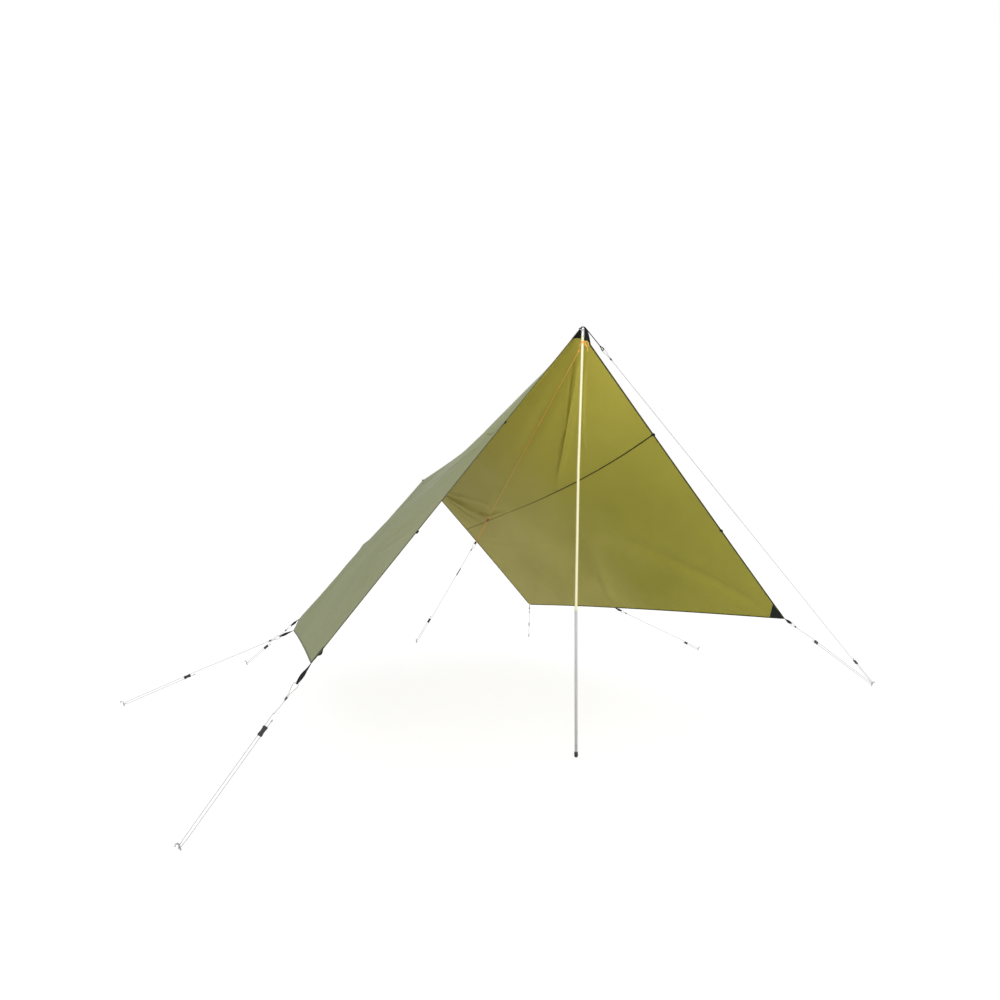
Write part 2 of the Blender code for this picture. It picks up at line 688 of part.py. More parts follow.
def peak_guyline():
    neck = stake_neck("front_right", 0.010)
    level = Vector((neck.x, neck.y, 0)).normalized()
    flat = PEAK.z + PLATE / 2 + SEAT + EYELET_METAL + SEAT + WEB
    bend = level * STRAP_BEND + Vector((0, 0, flat))
    along = (neck - bend).normalized()
    back = Vector((-along.dot(level), along.z))
    up = Vector((along.z, along.dot(level)))
    mitre = (up + Vector((0, 1))) / (1 + up.y)
    end = back * (STRAP_BEND + STRAP_END)
    start = [(end + up * WEB, end - up * WEB), (mitre * WEB, -mitre * WEB)]
    widths = [(end.x - WEB, TAB_WIDTH), (PEAK_LOOP, TAB_WIDTH)]
    data, eye_reach = loop_mesh("peak_loop", PEAK_LOOP, PEAK_OPENING, PEAK_EYE, widths, start)
    bpy.ops.mesh.primitive_cylinder_add(vertices=16, radius=EYELET_BORE, depth=WEB * 8)
    cutter = bpy.context.active_object
    turn = math.atan2(up.x, up.y)
    cutter.data.transform(Matrix.Rotation(turn, 4, "Y"))
    cutter.data.transform(Matrix.Translation((back.x * STRAP_BEND, 0, back.y * STRAP_BEND)))
    cutter.hide_render = True
    for owner in list(cutter.users_collection):
        owner.objects.unlink(cutter)
    cutters.objects.link(cutter)
    strap = place("strap_blank", data, None)
    cut = strap.modifiers.new("spike_hole", "BOOLEAN")
    cut.operation = "DIFFERENCE"
    cut.object = cutter
    cut_data = to_mesh(strap, "peak_loop")
    cut_data.materials.clear()
    guyline("peak", bend, (cut_data, eye_reach), "front_right", 0.913, lift=0.010, square_to=Vector((0, 0, -1)))


peak_guyline()


# Tabs with no guyline: short loops that stand out from the edge

def tab(name, s, v):
    """Loop that stands out square from an edge, flat in the plane of the cloth."""
    step = 0.01
    rear = v > 0.5
    along_edge = (sheet(s + step, v) - sheet(s - step, v)).normalized()
    if s == 0.0:
        along_edge = Vector((1, 0, 0))
    normal = sheet_normal(s, v).normalized()
    out = along_edge.cross(normal).normalized()
    out = out if (out.y > 0) == rear else -out
    across = normal.cross(out)
    corner = sheet(s, v)
    frame = Matrix(((out.x, across.x, normal.x, corner.x), (out.y, across.y, normal.y, corner.y),
                    (out.z, across.z, normal.z, corner.z), (0, 0, 0, 1)))
    frame.translation = seated(corner, frame, TAB_WIDTH)
    place("tab_" + name, free_tab[0], "trim", frame)


for side, hand in ((1, "right"), (-1, "left")):
    for share, order in ((SEAM_FRONT, "upper"), (SEAM_FRONT * 2, "lower")):
        tab("front_%s_%s" % (hand, order), side * share, 0.0)
tab("rear_left", -REAR_TAB_AT, 1.0)
tab("ridge_end", 0.0, 1.0)


# Peak plate with its eyelet: the spike of the pole goes through it

PLATE_REAR = PEAK.y - TAPE_CLEAR - TAPE - 0.004


def turned(name, profile, material, steps=24, bow=False):
    """Turned piece: a closed profile of (radius, height) pairs, down its outer side, screwed round Z."""
    data = bpy.data.meshes.new(name)
    built = bmesh.new()
    ring = [built.verts.new((radius, 0, height)) for radius, height in profile]
    closed = profile[0][0] > 0 or profile[-1][0] > 0
    pairs = list(zip(ring, ring[1:] + ([ring[0]] if closed else [])))
    for a, b in pairs:
        built.edges.new((a, b))
    built.to_mesh(data)
    built.free()
    source = place(name + "_profile", data, None)
    screw = source.modifiers.new("turn", "SCREW")
    screw.steps = steps
    screw.render_steps = steps
    screw.use_merge_vertices = True
    screw.merge_threshold = 0.00001
    screw.use_smooth_shade = False
    shape = to_mesh(source, name)
    if bow:
        for vertex in shape.vertices:
            vertex.co.x += pole_x(vertex.co.z)
    shape.shade_smooth()
    shape.set_sharp_from_angle(angle=math.radians(40))
    return place(name, shape, material)


def plate():
    """Webbing tab at the peak, with a round hole for the eyelet."""
    curve = bpy.data.curves.new("peak_plate", "CURVE")
    curve.dimensions = "2D"
    curve.fill_mode = "BOTH"
    curve.extrude = PLATE / 2
    half = PLATE_WIDTH / 2
    nose = 8
    outline = [(half, PLATE_REAR), (-half, PLATE_REAR)]
    for i in range(nose + 1):
        angle = math.pi + math.pi * i / nose
        outline.append((half * math.cos(angle), PLATE_FRONT * math.sin(angle)))
    around = 20
    barrel = EYELET_BARREL + SEAT
    hole = [(barrel * math.cos(math.tau * i / around), barrel * math.sin(math.tau * i / around))
            for i in range(around)]
    for ring in (outline, hole):
        spline = curve.splines.new("POLY")
        spline.points.add(len(ring) - 1)
        for point, (x, y) in zip(spline.points, ring):
            point.co = (x, y, 0, 1)
        spline.use_cyclic_u = True
    data = to_mesh(place("plate_source", curve, None), "peak_plate")
    data.transform(Matrix.Translation((0, 0, PEAK.z)))
    data.materials.clear()
    place("peak_plate", data, "trim")


plate()

face = PLATE / 2 + SEAT
turned("peak_eyelet", [
    (EYELET_BORE, PEAK.z + face + EYELET_METAL), (EYELET_FLANGE, PEAK.z + face + EYELET_METAL),
    (EYELET_FLANGE, PEAK.z + face), (EYELET_BARREL, PEAK.z + face),
    (EYELET_BARREL, PEAK.z - face), (EYELET_FLANGE, PEAK.z - face),
    (EYELET_FLANGE, PEAK.z - face - EYELET_METAL), (EYELET_BORE, PEAK.z - face - EYELET_METAL),
], "eyelet")


# Pole: tubes that plug together on ferrules, a foot, a spike and the elastic cord inside

SHOULDER = PEAK.z - face - EYELET_METAL - SEAT
TUBE_FOOT = FOOT_HEIGHT + SEAT
TUBE_TOP = SHOULDER - 0.004
SECTION = (TUBE_TOP - TUBE_FOOT) / POLE_SECTIONS
JOINTS = [TUBE_FOOT + SECTION * i for i in range(POLE_SECTIONS + 1)]
BORE = TUBE_RADIUS - TUBE_WALL
FERRULE_RADIUS = BORE - SEAT


def pole_x(z):
    """Sideways bow of the pole, straight within each section."""
    def curve_x(height):
        return -POLE_BOW * arch(max(0.0, min(1.0, height / SHOULDER)))
    stops = [0.0] + JOINTS[1:-1] + [SHOULDER]
    for low, high in zip(stops, stops[1:]):
        if z <= high:
            t = max(0.0, (z - low) / (high - low))
            return curve_x(low) + (curve_x(high) - curve_x(low)) * t
    return 0.0


for i in range(POLE_SECTIONS):
    low = JOINTS[i] + (SEAT / 2 if i else 0.0)
    high = JOINTS[i + 1] - (SEAT / 2 if i < POLE_SECTIONS - 1 else 0.0)
    turned("pole_section_%d" % (i + 1), [
        (TUBE_RADIUS, high), (TUBE_RADIUS, low), (BORE, low), (BORE, high)], "tube", bow=True)

for i in range(1, POLE_SECTIONS):
    high = JOINTS[i] + FERRULE_LENGTH / 2
    low = JOINTS[i] - FERRULE_LENGTH / 2
    inner = FERRULE_RADIUS - FERRULE_WALL
    turned("pole_ferrule_%d" % i, [
        (FERRULE_RADIUS, high), (FERRULE_RADIUS, JOINTS[i]), (FERRULE_RADIUS, low),
        (inner, low), (inner, JOINTS[i]), (inner, high)], "ferrule", bow=True)

turned("pole_foot", [
    (0.0, FOOT_HEIGHT + PLUG_DEPTH), (FERRULE_RADIUS, FOOT_HEIGHT + PLUG_DEPTH), (FERRULE_RADIUS, FOOT_HEIGHT),
    (TUBE_RADIUS + 0.001, FOOT_HEIGHT), (FOOT_RADIUS, FOOT_HEIGHT * 0.72), (FOOT_RADIUS, FOOT_HEIGHT * 0.25),
    (FOOT_RADIUS * 0.78, 0.0), (0.0, 0.0)], "foot", bow=True)

turned("pole_tip", [
    (0.0, PEAK.z + SPIKE_RISE), (SPIKE_RADIUS * 0.6, PEAK.z + SPIKE_RISE - 0.001),
    (SPIKE_RADIUS, PEAK.z + SPIKE_RISE - 0.004), (SPIKE_RADIUS, SHOULDER), (TUBE_RADIUS, SHOULDER),
    (TUBE_RADIUS, TUBE_TOP + SEAT), (FERRULE_RADIUS, TUBE_TOP + SEAT), (FERRULE_RADIUS, TUBE_TOP - PLUG_DEPTH),
    (0.0, TUBE_TOP - PLUG_DEPTH)], "ferrule", bow=True)

shock_low = FOOT_HEIGHT + PLUG_DEPTH + SEAT
shock_high = TUBE_TOP - PLUG_DEPTH - SEAT
turned("shock_cord", [
    (0.0, shock_high), (SHOCK_RADIUS, shock_high), *[(SHOCK_RADIUS, z) for z in reversed(JOINTS[1:-1])],
    (SHOCK_RADIUS, shock_low), (0.0, shock_low)], "cord", steps=10, bow=True)


# Inner cord: tied round the pole under the peak, doubled through the right rear loop

inner_start = Vector((0.0, 0.0, INNER_TIE_HEIGHT))
rear_loop = bpy.data.objects["guy_loop_rear_middle"].matrix_world
rear_line = rear_loop.col[0].xyz
rear_across = rear_loop.col[1].xyz
taper = math.atan2(EYE_RADIUS, TAB_OPENING)
INNER_EYE = TAB_LOOP - EYE_RADIUS - WEB - TAB_OPENING + (CORD_RADIUS + SEAT * 1.5) / math.sin(taper)
inner_end = rear_loop.translation + rear_line * INNER_EYE
inner_along = (inner_end - inner_start).normalized()
inner_across = line_frame(inner_start, inner_along).col[1].xyz
inner_up = inner_across.cross(inner_along)


def inner_cord():
    """Orange cord from the pole to the rear tab, with its slider near the tab."""
    tie = inner_start + inner_along * 0.060
    points = [tie - inner_along * KNOT_HALF * 1.2 + inner_across * 0.0052]
    radii = [1.0]
    swept = TUBE_RADIUS + abs(pole_x(INNER_TIE_HEIGHT - TUBE_RADIUS * 2))
    side = swept + CORD_RADIUS + SEAT * 1.4
    slope = math.hypot(inner_along.x, inner_along.y)
    front = swept / slope + CORD_RADIUS + SEAT * 1.4
    for i in range(13):
        angle = math.pi / 2 - math.pi * i / 12
        points.append(inner_start + inner_across * side * math.sin(angle) - inner_along * front * math.cos(angle))
        radii.append(1.0)
    knot(points, radii, tie, inner_along)
    run = (inner_end - tie).length
    centre = tie + inner_along * run * 0.82
    strand = inner_across * STRAND_HALF
    top = centre - inner_along * (SLIDER_LENGTH / 2 + LEAD_IN)
    low = inner_end - inner_along * PARALLEL_END
    hand = 1.0 if rear_across.dot(inner_across) > 0 else -1.0
    points += [top + strand, low + strand]
    for x, y in ((TIE_HALF, 0.010), (TIE_HALF, 0.004), (TIE_HALF * 0.66, 0.0)):
        points.append(inner_end + rear_across * hand * x - inner_along * y)
    for x, y in ((TIE_HALF * 0.66, 0.0), (TIE_HALF, 0.004), (TIE_HALF, 0.010)):
        points.append(inner_end - rear_across * hand * x - inner_along * y)
    points.append(low - strand)
    radii += [1.0] * 9
    knot(points, radii, centre - inner_along * (SLIDER_LENGTH / 2 + TAIL) - strand, -inner_along)
    tube("inner_cord", points, radii, "inner_cord")
    place("slider_inner", runner_mesh, "slider", line_frame(centre, inner_along))


inner_cord()


# Stakes: round wire, pointed below and bent to a hook above the cord

def stake(name):
    foot = STAKES[name]
    away, axis = stake_axis(name)
    bend = foot + axis * (STAKE_TOP - STAKE_HOOK)
    points = [foot - axis * STAKE_DEPTH, foot - axis * (STAKE_DEPTH - 0.018), bend]
    radii = [0.12, 1.0, 1.0]
    centre = bend + away * STAKE_HOOK
    for i in range(1, 7):
        angle = math.pi - math.radians(190) * i / 6
        points.append(centre + (away * math.cos(angle) + axis * math.sin(angle)) * STAKE_HOOK)
        radii.append(1.0)
    curve = bpy.data.curves.new("stake_" + name, "CURVE")
    curve.dimensions = "3D"
    curve.bevel_depth = STAKE_RADIUS
    curve.bevel_resolution = 3
    curve.use_fill_caps = True
    spline = curve.splines.new("POLY")
    spline.points.add(len(points) - 1)
    for point, place_at, radius in zip(spline.points, points, radii):
        point.co = (*place_at, 1)
        point.radius = radius
    place("stake_" + name, curve, "stake")


for name in STAKES:
    stake(name)
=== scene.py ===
import json
import math

import bmesh
import bpy
import numpy as np
from mathutils import Matrix, Vector


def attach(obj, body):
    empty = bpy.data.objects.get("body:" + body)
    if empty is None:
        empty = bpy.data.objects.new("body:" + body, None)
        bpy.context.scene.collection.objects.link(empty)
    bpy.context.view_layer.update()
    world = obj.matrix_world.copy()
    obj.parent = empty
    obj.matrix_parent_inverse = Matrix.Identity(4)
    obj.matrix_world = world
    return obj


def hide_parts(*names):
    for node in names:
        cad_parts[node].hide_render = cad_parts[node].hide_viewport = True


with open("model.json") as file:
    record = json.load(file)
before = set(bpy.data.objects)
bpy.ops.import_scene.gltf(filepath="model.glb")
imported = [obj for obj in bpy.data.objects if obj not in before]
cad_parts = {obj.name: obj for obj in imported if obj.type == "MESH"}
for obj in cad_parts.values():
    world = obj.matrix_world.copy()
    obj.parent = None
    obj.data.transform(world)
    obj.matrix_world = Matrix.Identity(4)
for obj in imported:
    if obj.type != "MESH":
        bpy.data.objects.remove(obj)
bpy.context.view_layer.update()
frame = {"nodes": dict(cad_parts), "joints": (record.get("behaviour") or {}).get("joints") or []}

nodes = frame["nodes"]
joints = {joint["name"]: joint for joint in frame["joints"]}

# The viewpoint: a camera at standing height to the front left of the tarp, where the photograph
# was taken, turned 27 degrees towards the shelter and held almost level.

EYE = Vector((-2.058, -3.015, 1.389))
YAW, PITCH, ROLL = 0.47672, 0.00718, 0.01686
SENSOR = 36.0
FOCAL_SHARE = 0.65266     # focal length over the frame's width
scene = bpy.context.scene


def placed(name, data):
    """New object in the scene."""
    made = bpy.data.objects.new(name, data)
    scene.collection.objects.link(made)
    return made


look = Vector((math.sin(YAW) * math.cos(PITCH), math.cos(YAW) * math.cos(PITCH), math.sin(PITCH)))
level = Vector((math.cos(YAW), -math.sin(YAW), 0.0))
rise = level.cross(look)
camera_right = level * math.cos(ROLL) + rise * math.sin(ROLL)
camera_up = rise * math.cos(ROLL) - level * math.sin(ROLL)
lens = bpy.data.cameras.new("viewpoint")
lens.sensor_width = SENSOR
lens.lens = SENSOR * FOCAL_SHARE
lens.clip_start, lens.clip_end = 0.05, 200.0
camera = placed("viewpoint", lens)
turned = Matrix((camera_right, camera_up, -look)).transposed()
camera.matrix_world = Matrix.Translation(EYE) @ turned.to_4x4()
scene.camera = camera
scene.view_settings.view_transform = "Standard"


# The ground and the light: a pale floor that keeps the tarp's shadow, an even white sky and one
# wide soft lamp from the front.

SEEN_WHITE = 0.71         # how much of the floor's own white the camera sees over its shading
FLOOR_WHITE = 1.16
FLOOR_HALF = 60.0
SKY_LIGHT = 0.90
LAMP_POWER = 390.0
LAMP_SIZE = 5.0
LAMP_PLACE = Vector((-4.2, -6.5, 3.6))
LAMP_AIM = Vector((0.3, 0.9, 0.6))
WHITE = (1, 1, 1, 1)


def nodes_into(tree):
    """Empties a node tree and gives the call that adds a node to it.

    An input, by its name or number, is a value, another node's output, or a node, for its first.
    """
    tree.nodes.clear()

    def add(kind, inputs=(), **settings):
        node = tree.nodes.new(kind)
        for key, value in settings.items():
            setattr(node, key, value)
        for key, value in dict(inputs).items():
            source = value.outputs[0] if isinstance(value, bpy.types.Node) else value
            if isinstance(source, bpy.types.NodeSocket):
                tree.links.new(source, node.inputs[key])
            else:
                node.inputs[key].default_value = source
        return node

    return add


def calc(add, operation, *values):
    """Node for a sum or other maths."""
    return add("ShaderNodeMath", enumerate(values), operation=operation)


def blend(add, share, first, second):
    """Blend of two colours."""
    return add("ShaderNodeMix", {0: share, 6: first, 7: second}, data_type="RGBA").outputs[2]


def new_material(name):
    """Empty material and the call that adds a node to it."""
    made = bpy.data.materials.new(name)
    made.use_nodes = True
    return made, nodes_into(made.node_tree)


ground, add = new_material("pale_ground")
matte = add("ShaderNodeBsdfDiffuse", {"Color": (0.86, 0.86, 0.86, 1)})
glow = add("ShaderNodeEmission", {"Color": WHITE, "Strength": FLOOR_WHITE})
seen = calc(add, "MULTIPLY", add("ShaderNodeLightPath").outputs["Is Camera Ray"], SEEN_WHITE)
add("ShaderNodeOutputMaterial", {"Surface": add("ShaderNodeMixShader", {0: seen, 1: matte, 2: glow})})
floor_mesh = bpy.data.meshes.new("floor")
floor_mesh.from_pydata([(x * FLOOR_HALF, y * FLOOR_HALF, 0) for x, y in ((-1, -1), (1, -1), (1, 1), (-1, 1))],
                       [], [(0, 1, 2, 3)])
floor_mesh.materials.append(ground)
floor = placed("floor", floor_mesh)

sky = bpy.data.worlds.new("even_sky")
scene.world = sky
sky.use_nodes = True
add = nodes_into(sky.node_tree)
ray = add("ShaderNodeLightPath").outputs
seen = calc(add, "MAXIMUM", ray["Is Camera Ray"], ray["Is Glossy Ray"])
seen = calc(add, "MAXIMUM", seen, ray["Is Transmission Ray"])
lit_sky, seen_sky = [add("ShaderNodeBackground", {"Color": WHITE, "Strength": strength})
                     for strength in (SKY_LIGHT, 1.0)]
add("ShaderNodeOutputWorld", {"Surface": add("ShaderNodeMixShader", {0: seen, 1: lit_sky, 2: seen_sky})})

lamp = bpy.data.lights.new("soft_lamp", "AREA")
lamp.shape = "DISK"
lamp.size = LAMP_SIZE
lamp.energy = LAMP_POWER
lamp_object = placed("soft_lamp", lamp)
lamp_object.location = LAMP_PLACE
lamp_object.rotation_euler = (LAMP_AIM - LAMP_PLACE).to_track_quat("-Z", "Y").to_euler()


# Guylines: light grey braided cord, 3 mm thick. Each is tied through its webbing loop, runs down
# through a slider, round its stake and back through the slider, and ends in a stopper knot.

CORD = 0.003
TIE_LENGTH = 0.070        # from a loop's eye to the knot
TIE_HALF = 0.012
TIE_KNOT = (0.0042, 4, 0.0135)        # radius, turns and length of its wraps
STOPPER_KNOT = (0.0027, 2, 0.0062)
KNOT_PAST_TIE = 0.002
KNOT_TO_END = 0.008
KNOT_FLAT = 0.85          # a knot's depth over its width
EYE_OVERLAP = 0.0004      # where the two tubes of one cord meet
TIED_TAIL = 0.016         # tail past the tie, along and aside
TIED_ASIDE = 0.0032
TIE_STRAIGHT = 0.030      # straight stretch below the tie
STRAND_HALF = 0.0068      # half the spacing of the doubled strands
SLIDER_LENGTH = 0.044
EYE_TO_TIP = 0.0034
TAIL = 0.026              # free tail above a slider
TAIL_END = 0.010          # and the cord past it, through its knot
LEAD_IN = 0.060           # straight stretch above a slider
PARALLEL_END = 0.036      # distance from the stake at which the strands start to close round it
STAKE_RADIUS = 0.0035
STAKE_GAP = 0.00045
STAKE_NECK = 0.015        # height of the cord on the stake
SECOND_CORD = 0.010       # and of another cord above it
ROUTE_STEP = 0.004
BRAID_PITCH = 0.0042
BRAID_TURNS = 4


def smooth_route(points):
    """Points along one smooth curve through a route, close together only where it bends."""
    made = [points[0]]
    for i in range(len(points) - 1):
        before = points[max(i - 1, 0)]
        start, end = points[i], points[i + 1]
        after = points[min(i + 2, len(points) - 1)]
        span = (end - start).length
        turn = (start - before).angle(end - start, 0.0) + (end - start).angle(after - end, 0.0)
        count = 1 if turn < 0.02 else max(2, min(8, int(span / ROUTE_STEP)))
        k0 = (start - before).length or span
        k1 = (after - end).length or span
        t_in = (end - before).normalized() * min(span, k0 * 1.5)
        t_out = (after - start).normalized() * min(span, k1 * 1.5)
        for j in range(1, count + 1):
            t = j / count
            h = (2 * t ** 3 - 3 * t * t + 1, t ** 3 - 2 * t * t + t, 3 * t * t - 2 * t ** 3, t ** 3 - t * t)
            made.append(start * h[0] + t_in * h[1] + end * h[2] + t_out * h[3])
    return made


def braided_tube(name, route, radius, material, sides=10, stands_for=None):
    """Closed tube along a route, and its length. Its UV map is in metres along it and turns round it."""
    count = len(route)
    tangents = [(route[min(i + 1, count - 1)] - route[max(i - 1, 0)]).normalized() for i in range(count)]
    upright = tangents[0].orthogonal().normalized()
    built = bmesh.new()
    uv = built.loops.layers.uv.new("cord")
    rings, marks = [], [0.0]
    for i, (point, tangent) in enumerate(zip(route, tangents)):
        upright = (upright - tangent * upright.dot(tangent)).normalized()
        side = tangent.cross(upright)
        if i:
            marks.append(marks[-1] + (point - route[i - 1]).length)
        rings.append([built.verts.new(point + (upright * math.cos(a) + side * math.sin(a)) * radius)
                      for a in (math.tau * k / sides for k in range(sides))])
    for i in range(count - 1):
        for k in range(sides):
            n = (k + 1) % sides
            face = built.faces.new((rings[i][k], rings[i][n], rings[i + 1][n], rings[i + 1][k]))
            for loop, (u, v) in zip(face.loops, ((i, k), (i, k + 1), (i + 1, k + 1), (i + 1, k))):
                loop[uv].uv = (marks[u], v / sides)
            face.smooth = True
    built.faces.new(rings[0])
    built.faces.new(reversed(rings[-1]))
    bmesh.ops.recalc_face_normals(built, faces=built.faces)
    data = bpy.data.meshes.new(name)
    built.to_mesh(data)
    built.free()
    data.materials.append(material)
    made = placed(name, data)
    if stands_for:
        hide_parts(stands_for)
    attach(made, "tarp")
    return made, marks[-1]


def braid(name, colour, fleck, roughness=0.72):
    """Braided sheath: diagonal strands both ways, with the fleck colour on every few strands."""
    made, add = new_material(name)
    place = add("ShaderNodeTexCoord").outputs
    split = add("ShaderNodeSeparateXYZ", {0: place["UV"]}).outputs
    along = calc(add, "MULTIPLY", split["X"], math.tau / BRAID_PITCH)
    around = calc(add, "MULTIPLY", split["Y"], math.tau * BRAID_TURNS)
    waves = [calc(add, "SINE", calc(add, way, along, around)) for way in ("ADD", "SUBTRACT")]
    strands = calc(add, "MULTIPLY", *waves)
    fuzz = add("ShaderNodeTexNoise", {"Vector": place["Object"], "Scale": 900.0, "Detail": 4.0})
    height = calc(add, "MULTIPLY_ADD", fuzz, 0.35, strands)
    bump = add("ShaderNodeBump", {"Strength": 0.7, "Distance": 0.0004, "Height": height})
    shade = blend(add, calc(add, "GREATER_THAN", strands, 0.80), (*colour, 1), (*fleck, 1))
    skin = add("ShaderNodeBsdfPrincipled", {"Base Color": shade, "Roughness": roughness,
                                            "Sheen Weight": 0.25, "Normal": bump})
    add("ShaderNodeOutputMaterial", {"Surface": skin})
    return made


grey_braid = braid("grey_braid", (0.36, 0.36, 0.37), (0.50, 0.50, 0.49))
whipping = braid("whipping", (0.055, 0.055, 0.058), (0.09, 0.09, 0.09))
orange_braid = braid("orange_braid", (1.0, 0.46, 0.075), (0.80, 0.28, 0.045))


def line_of(name):
    """A slider's centre, its line's direction and the direction across its two bores."""
    joint = joints["slider_%s_slide" % name]
    along = Vector(joint["axis"]).normalized()
    square_to = Vector((-along.y, along.x, 0))
    if name in ("peak", "inner"):
        square_to = Vector((0, 0, -1))
    if name == "rear_middle":
        square_to = Vector(joints["slider_inner_slide"]["axis"])
    return Vector(joint["pos_m"]), along, along.cross(square_to).normalized()


def loop_reach(name, along):
    """How far a webbing loop's tip lies along a line, from the origin."""
    return max(along.dot(vertex.co) for vertex in nodes[name].data.vertices)


def wrapped_knot(name, centre, along, across, radius, turns, length, material):
    """Wraps of cord round one or more strands: a short tight coil with its ends tucked in."""
    normal = along.cross(across)
    count = turns * 10
    route = []
    for i in range(count + 1):
        t = i / count
        angle = math.tau * turns * t
        tuck = 0.62 if i in (0, count) else 0.92 if i in (1, count - 1) else 1.0
        route.append(centre + along * (t - 0.5) * length
                     + (across * math.cos(angle) + normal * math.sin(angle) * KNOT_FLAT) * radius * tuck)
    return braided_tube(name, route, CORD / 2 * 0.98, material, 8)[0]


def guyline(name, stake, lift):
    """One guyline, tied to its webbing loop and led round a stake, with its knots."""
    centre, along, across = line_of(name)
    tip = loop_reach("guy_loop_" + name, along)
    eye_at = centre + along * (tip - along.dot(centre) - EYE_TO_TIP)
    tie = eye_at + along * TIE_LENGTH
    pull = joints["stake_%s_pull" % stake]
    shank = Vector(pull["axis"]).normalized()
    neck = Vector(pull["pos_m"]) + shank * ((STAKE_NECK + lift) / shank.z)
    wrap = along.cross(shank)
    wrap = wrap if wrap.dot(across) > 0 else -wrap
    reach = STAKE_RADIUS / wrap.length + CORD / 2 + STAKE_GAP
    wrap = wrap.normalized() * STRAND_HALF
    strand = across * STRAND_HALF
    low = neck - along * PARALLEL_END
    leg = [(TIE_HALF * 0.62, 0.0), (TIE_HALF * 0.92, 0.0035), (TIE_HALF, 0.012),
           (TIE_HALF * 0.72, TIE_LENGTH * 0.40), (0.0034, TIE_LENGTH * 0.72), (0.0017, TIE_LENGTH)]
    points = [eye_at] + [eye_at + across * x + along * y for x, y in leg]
    back = [eye_at + across * EYE_OVERLAP] + [eye_at - across * x + along * y for x, y in leg]
    back.append(tie + along * TIED_TAIL - across * TIED_ASIDE + along.cross(across) * 0.002)
    points += [tie + along * TIE_STRAIGHT, tie.lerp(centre, 0.5) + strand * 0.5,
               centre - along * (SLIDER_LENGTH / 2 + LEAD_IN) + strand,
               centre - along * SLIDER_LENGTH / 2 + strand,
               centre + along * SLIDER_LENGTH / 2 + strand, low + strand]
    for i in range(9):
        angle = math.pi * i / 8
        points.append(neck + wrap * math.cos(angle) + along * reach * math.sin(angle))
    end = centre - along * (SLIDER_LENGTH / 2 + TAIL + TAIL_END) - strand
    points += [low - strand, centre + along * SLIDER_LENGTH / 2 - strand,
               centre - along * SLIDER_LENGTH / 2 - strand, end]
    route = smooth_route(points)
    line, length = braided_tube("line_" + name, route, CORD / 2, grey_braid, stands_for="guyline_" + name)
    tied = braided_tube("tied_end_" + name, smooth_route(back), CORD / 2, grey_braid)[0]
    knot_at, stopper_at = tie + along * KNOT_PAST_TIE, end + along * KNOT_TO_END
    knots = [tied, wrapped_knot("knot_" + name, knot_at, along, across, *TIE_KNOT, whipping),
             wrapped_knot("stopper_" + name, stopper_at, along, across, *STOPPER_KNOT, grey_braid)]


for name in ("front_right", "side_right", "rear_right", "rear_middle",
             "front_left", "side_left", "rear_left"):
    guyline(name, name, 0.0)
guyline("peak", "front_right", SECOND_CORD)


# Sleeve: a dark sleeve, shrunk over one strand of the rear middle guyline about 0.3 m from its loop.
# It is thin plastic, through which the braid shows.

SLEEVE_AT = 0.295
SLEEVE_LENGTH = 0.085
SLEEVE_RADIUS = 0.0046
centre, along, across = line_of("rear_middle")
sleeve_from = loop_reach("guy_loop_rear_middle", along) - along.dot(centre) + SLEEVE_AT
sleeve_route = [centre + along * (sleeve_from + SLEEVE_LENGTH * t / 8) + across * STRAND_HALF * 0.5
                for t in range(9)]
sleeve_grey = braid("sleeve_grey", (0.030, 0.030, 0.032), (0.05, 0.05, 0.05), 0.55)
braided_tube("sleeve_rear_middle", sleeve_route, SLEEVE_RADIUS, sleeve_grey, 12)


# Inner cord: orange braided cord from a loop round the pole, under the peak, to the rear webbing
# loop. It takes the pull off the cloth. It is wrapped and knotted round the pole with a bow left
# hanging, and a slider near the rear sets its length.

INNER_TIE_HEIGHT = 2.290
INNER_TIE_LENGTH = 0.060
INNER_TURN = 0.0117       # radius of the turn round the pole
INNER_EYE_TO_TIP = 0.0130
INNER_KNOT = (0.0038, 3, 0.0105)
POLE_WRAPS = (INNER_TURN, 3, 0.010)
WRAPS_ABOVE = 0.010
BOW = (                   # loop and free end of the bow: aside, towards the back and up from the tie
    (0.0117, 0.004, 0.012), (0.021, 0.006, 0.015), (0.030, 0.005, 0.006), (0.031, 0.005, -0.008),
    (0.022, 0.007, -0.014), (0.0135, 0.008, -0.004), (0.0120, 0.009, 0.006), (0.019, 0.011, -0.012),
    (0.025, 0.010, -0.030), (0.024, 0.008, -0.044))
UP = Vector((0, 0, 1))
centre, along, across = line_of("inner")
pole_at = Vector((0, 0, INNER_TIE_HEIGHT))
rear_line, rear_across = line_of("rear_middle")[1:]
rear_tip = loop_reach("guy_loop_rear_middle", rear_line)
rear_loop = line_of("rear_middle")[0]
rear_eye = rear_loop + rear_line * (rear_tip - rear_line.dot(rear_loop) - INNER_EYE_TO_TIP)
hand = 1.0 if rear_across.dot(across) > 0 else -1.0
tie = pole_at + along * INNER_TIE_LENGTH
slope = math.hypot(along.x, along.y)
turn_back = pole_at - along * INNER_TURN / slope
around = [pole_at + (across * math.sin(a) - along * math.cos(a) / slope) * INNER_TURN
          for a in (math.pi / 2 * i / 4 for i in range(1, 5))]
leg = [(INNER_TURN * 0.88, 0.020), (0.0052, 0.042), (0.0017, INNER_TIE_LENGTH)]
points = [turn_back] + around + [pole_at + across * x + along * y for x, y in leg]
back = [turn_back + across * EYE_OVERLAP]
back += [pole_at - across * (point - pole_at).dot(across) + along * (point - pole_at).dot(along)
         for point in around]
back += [pole_at - across * x + along * y for x, y in leg]
back.append(tie + along * TIED_TAIL - across * TIED_ASIDE)
strand = across * STRAND_HALF
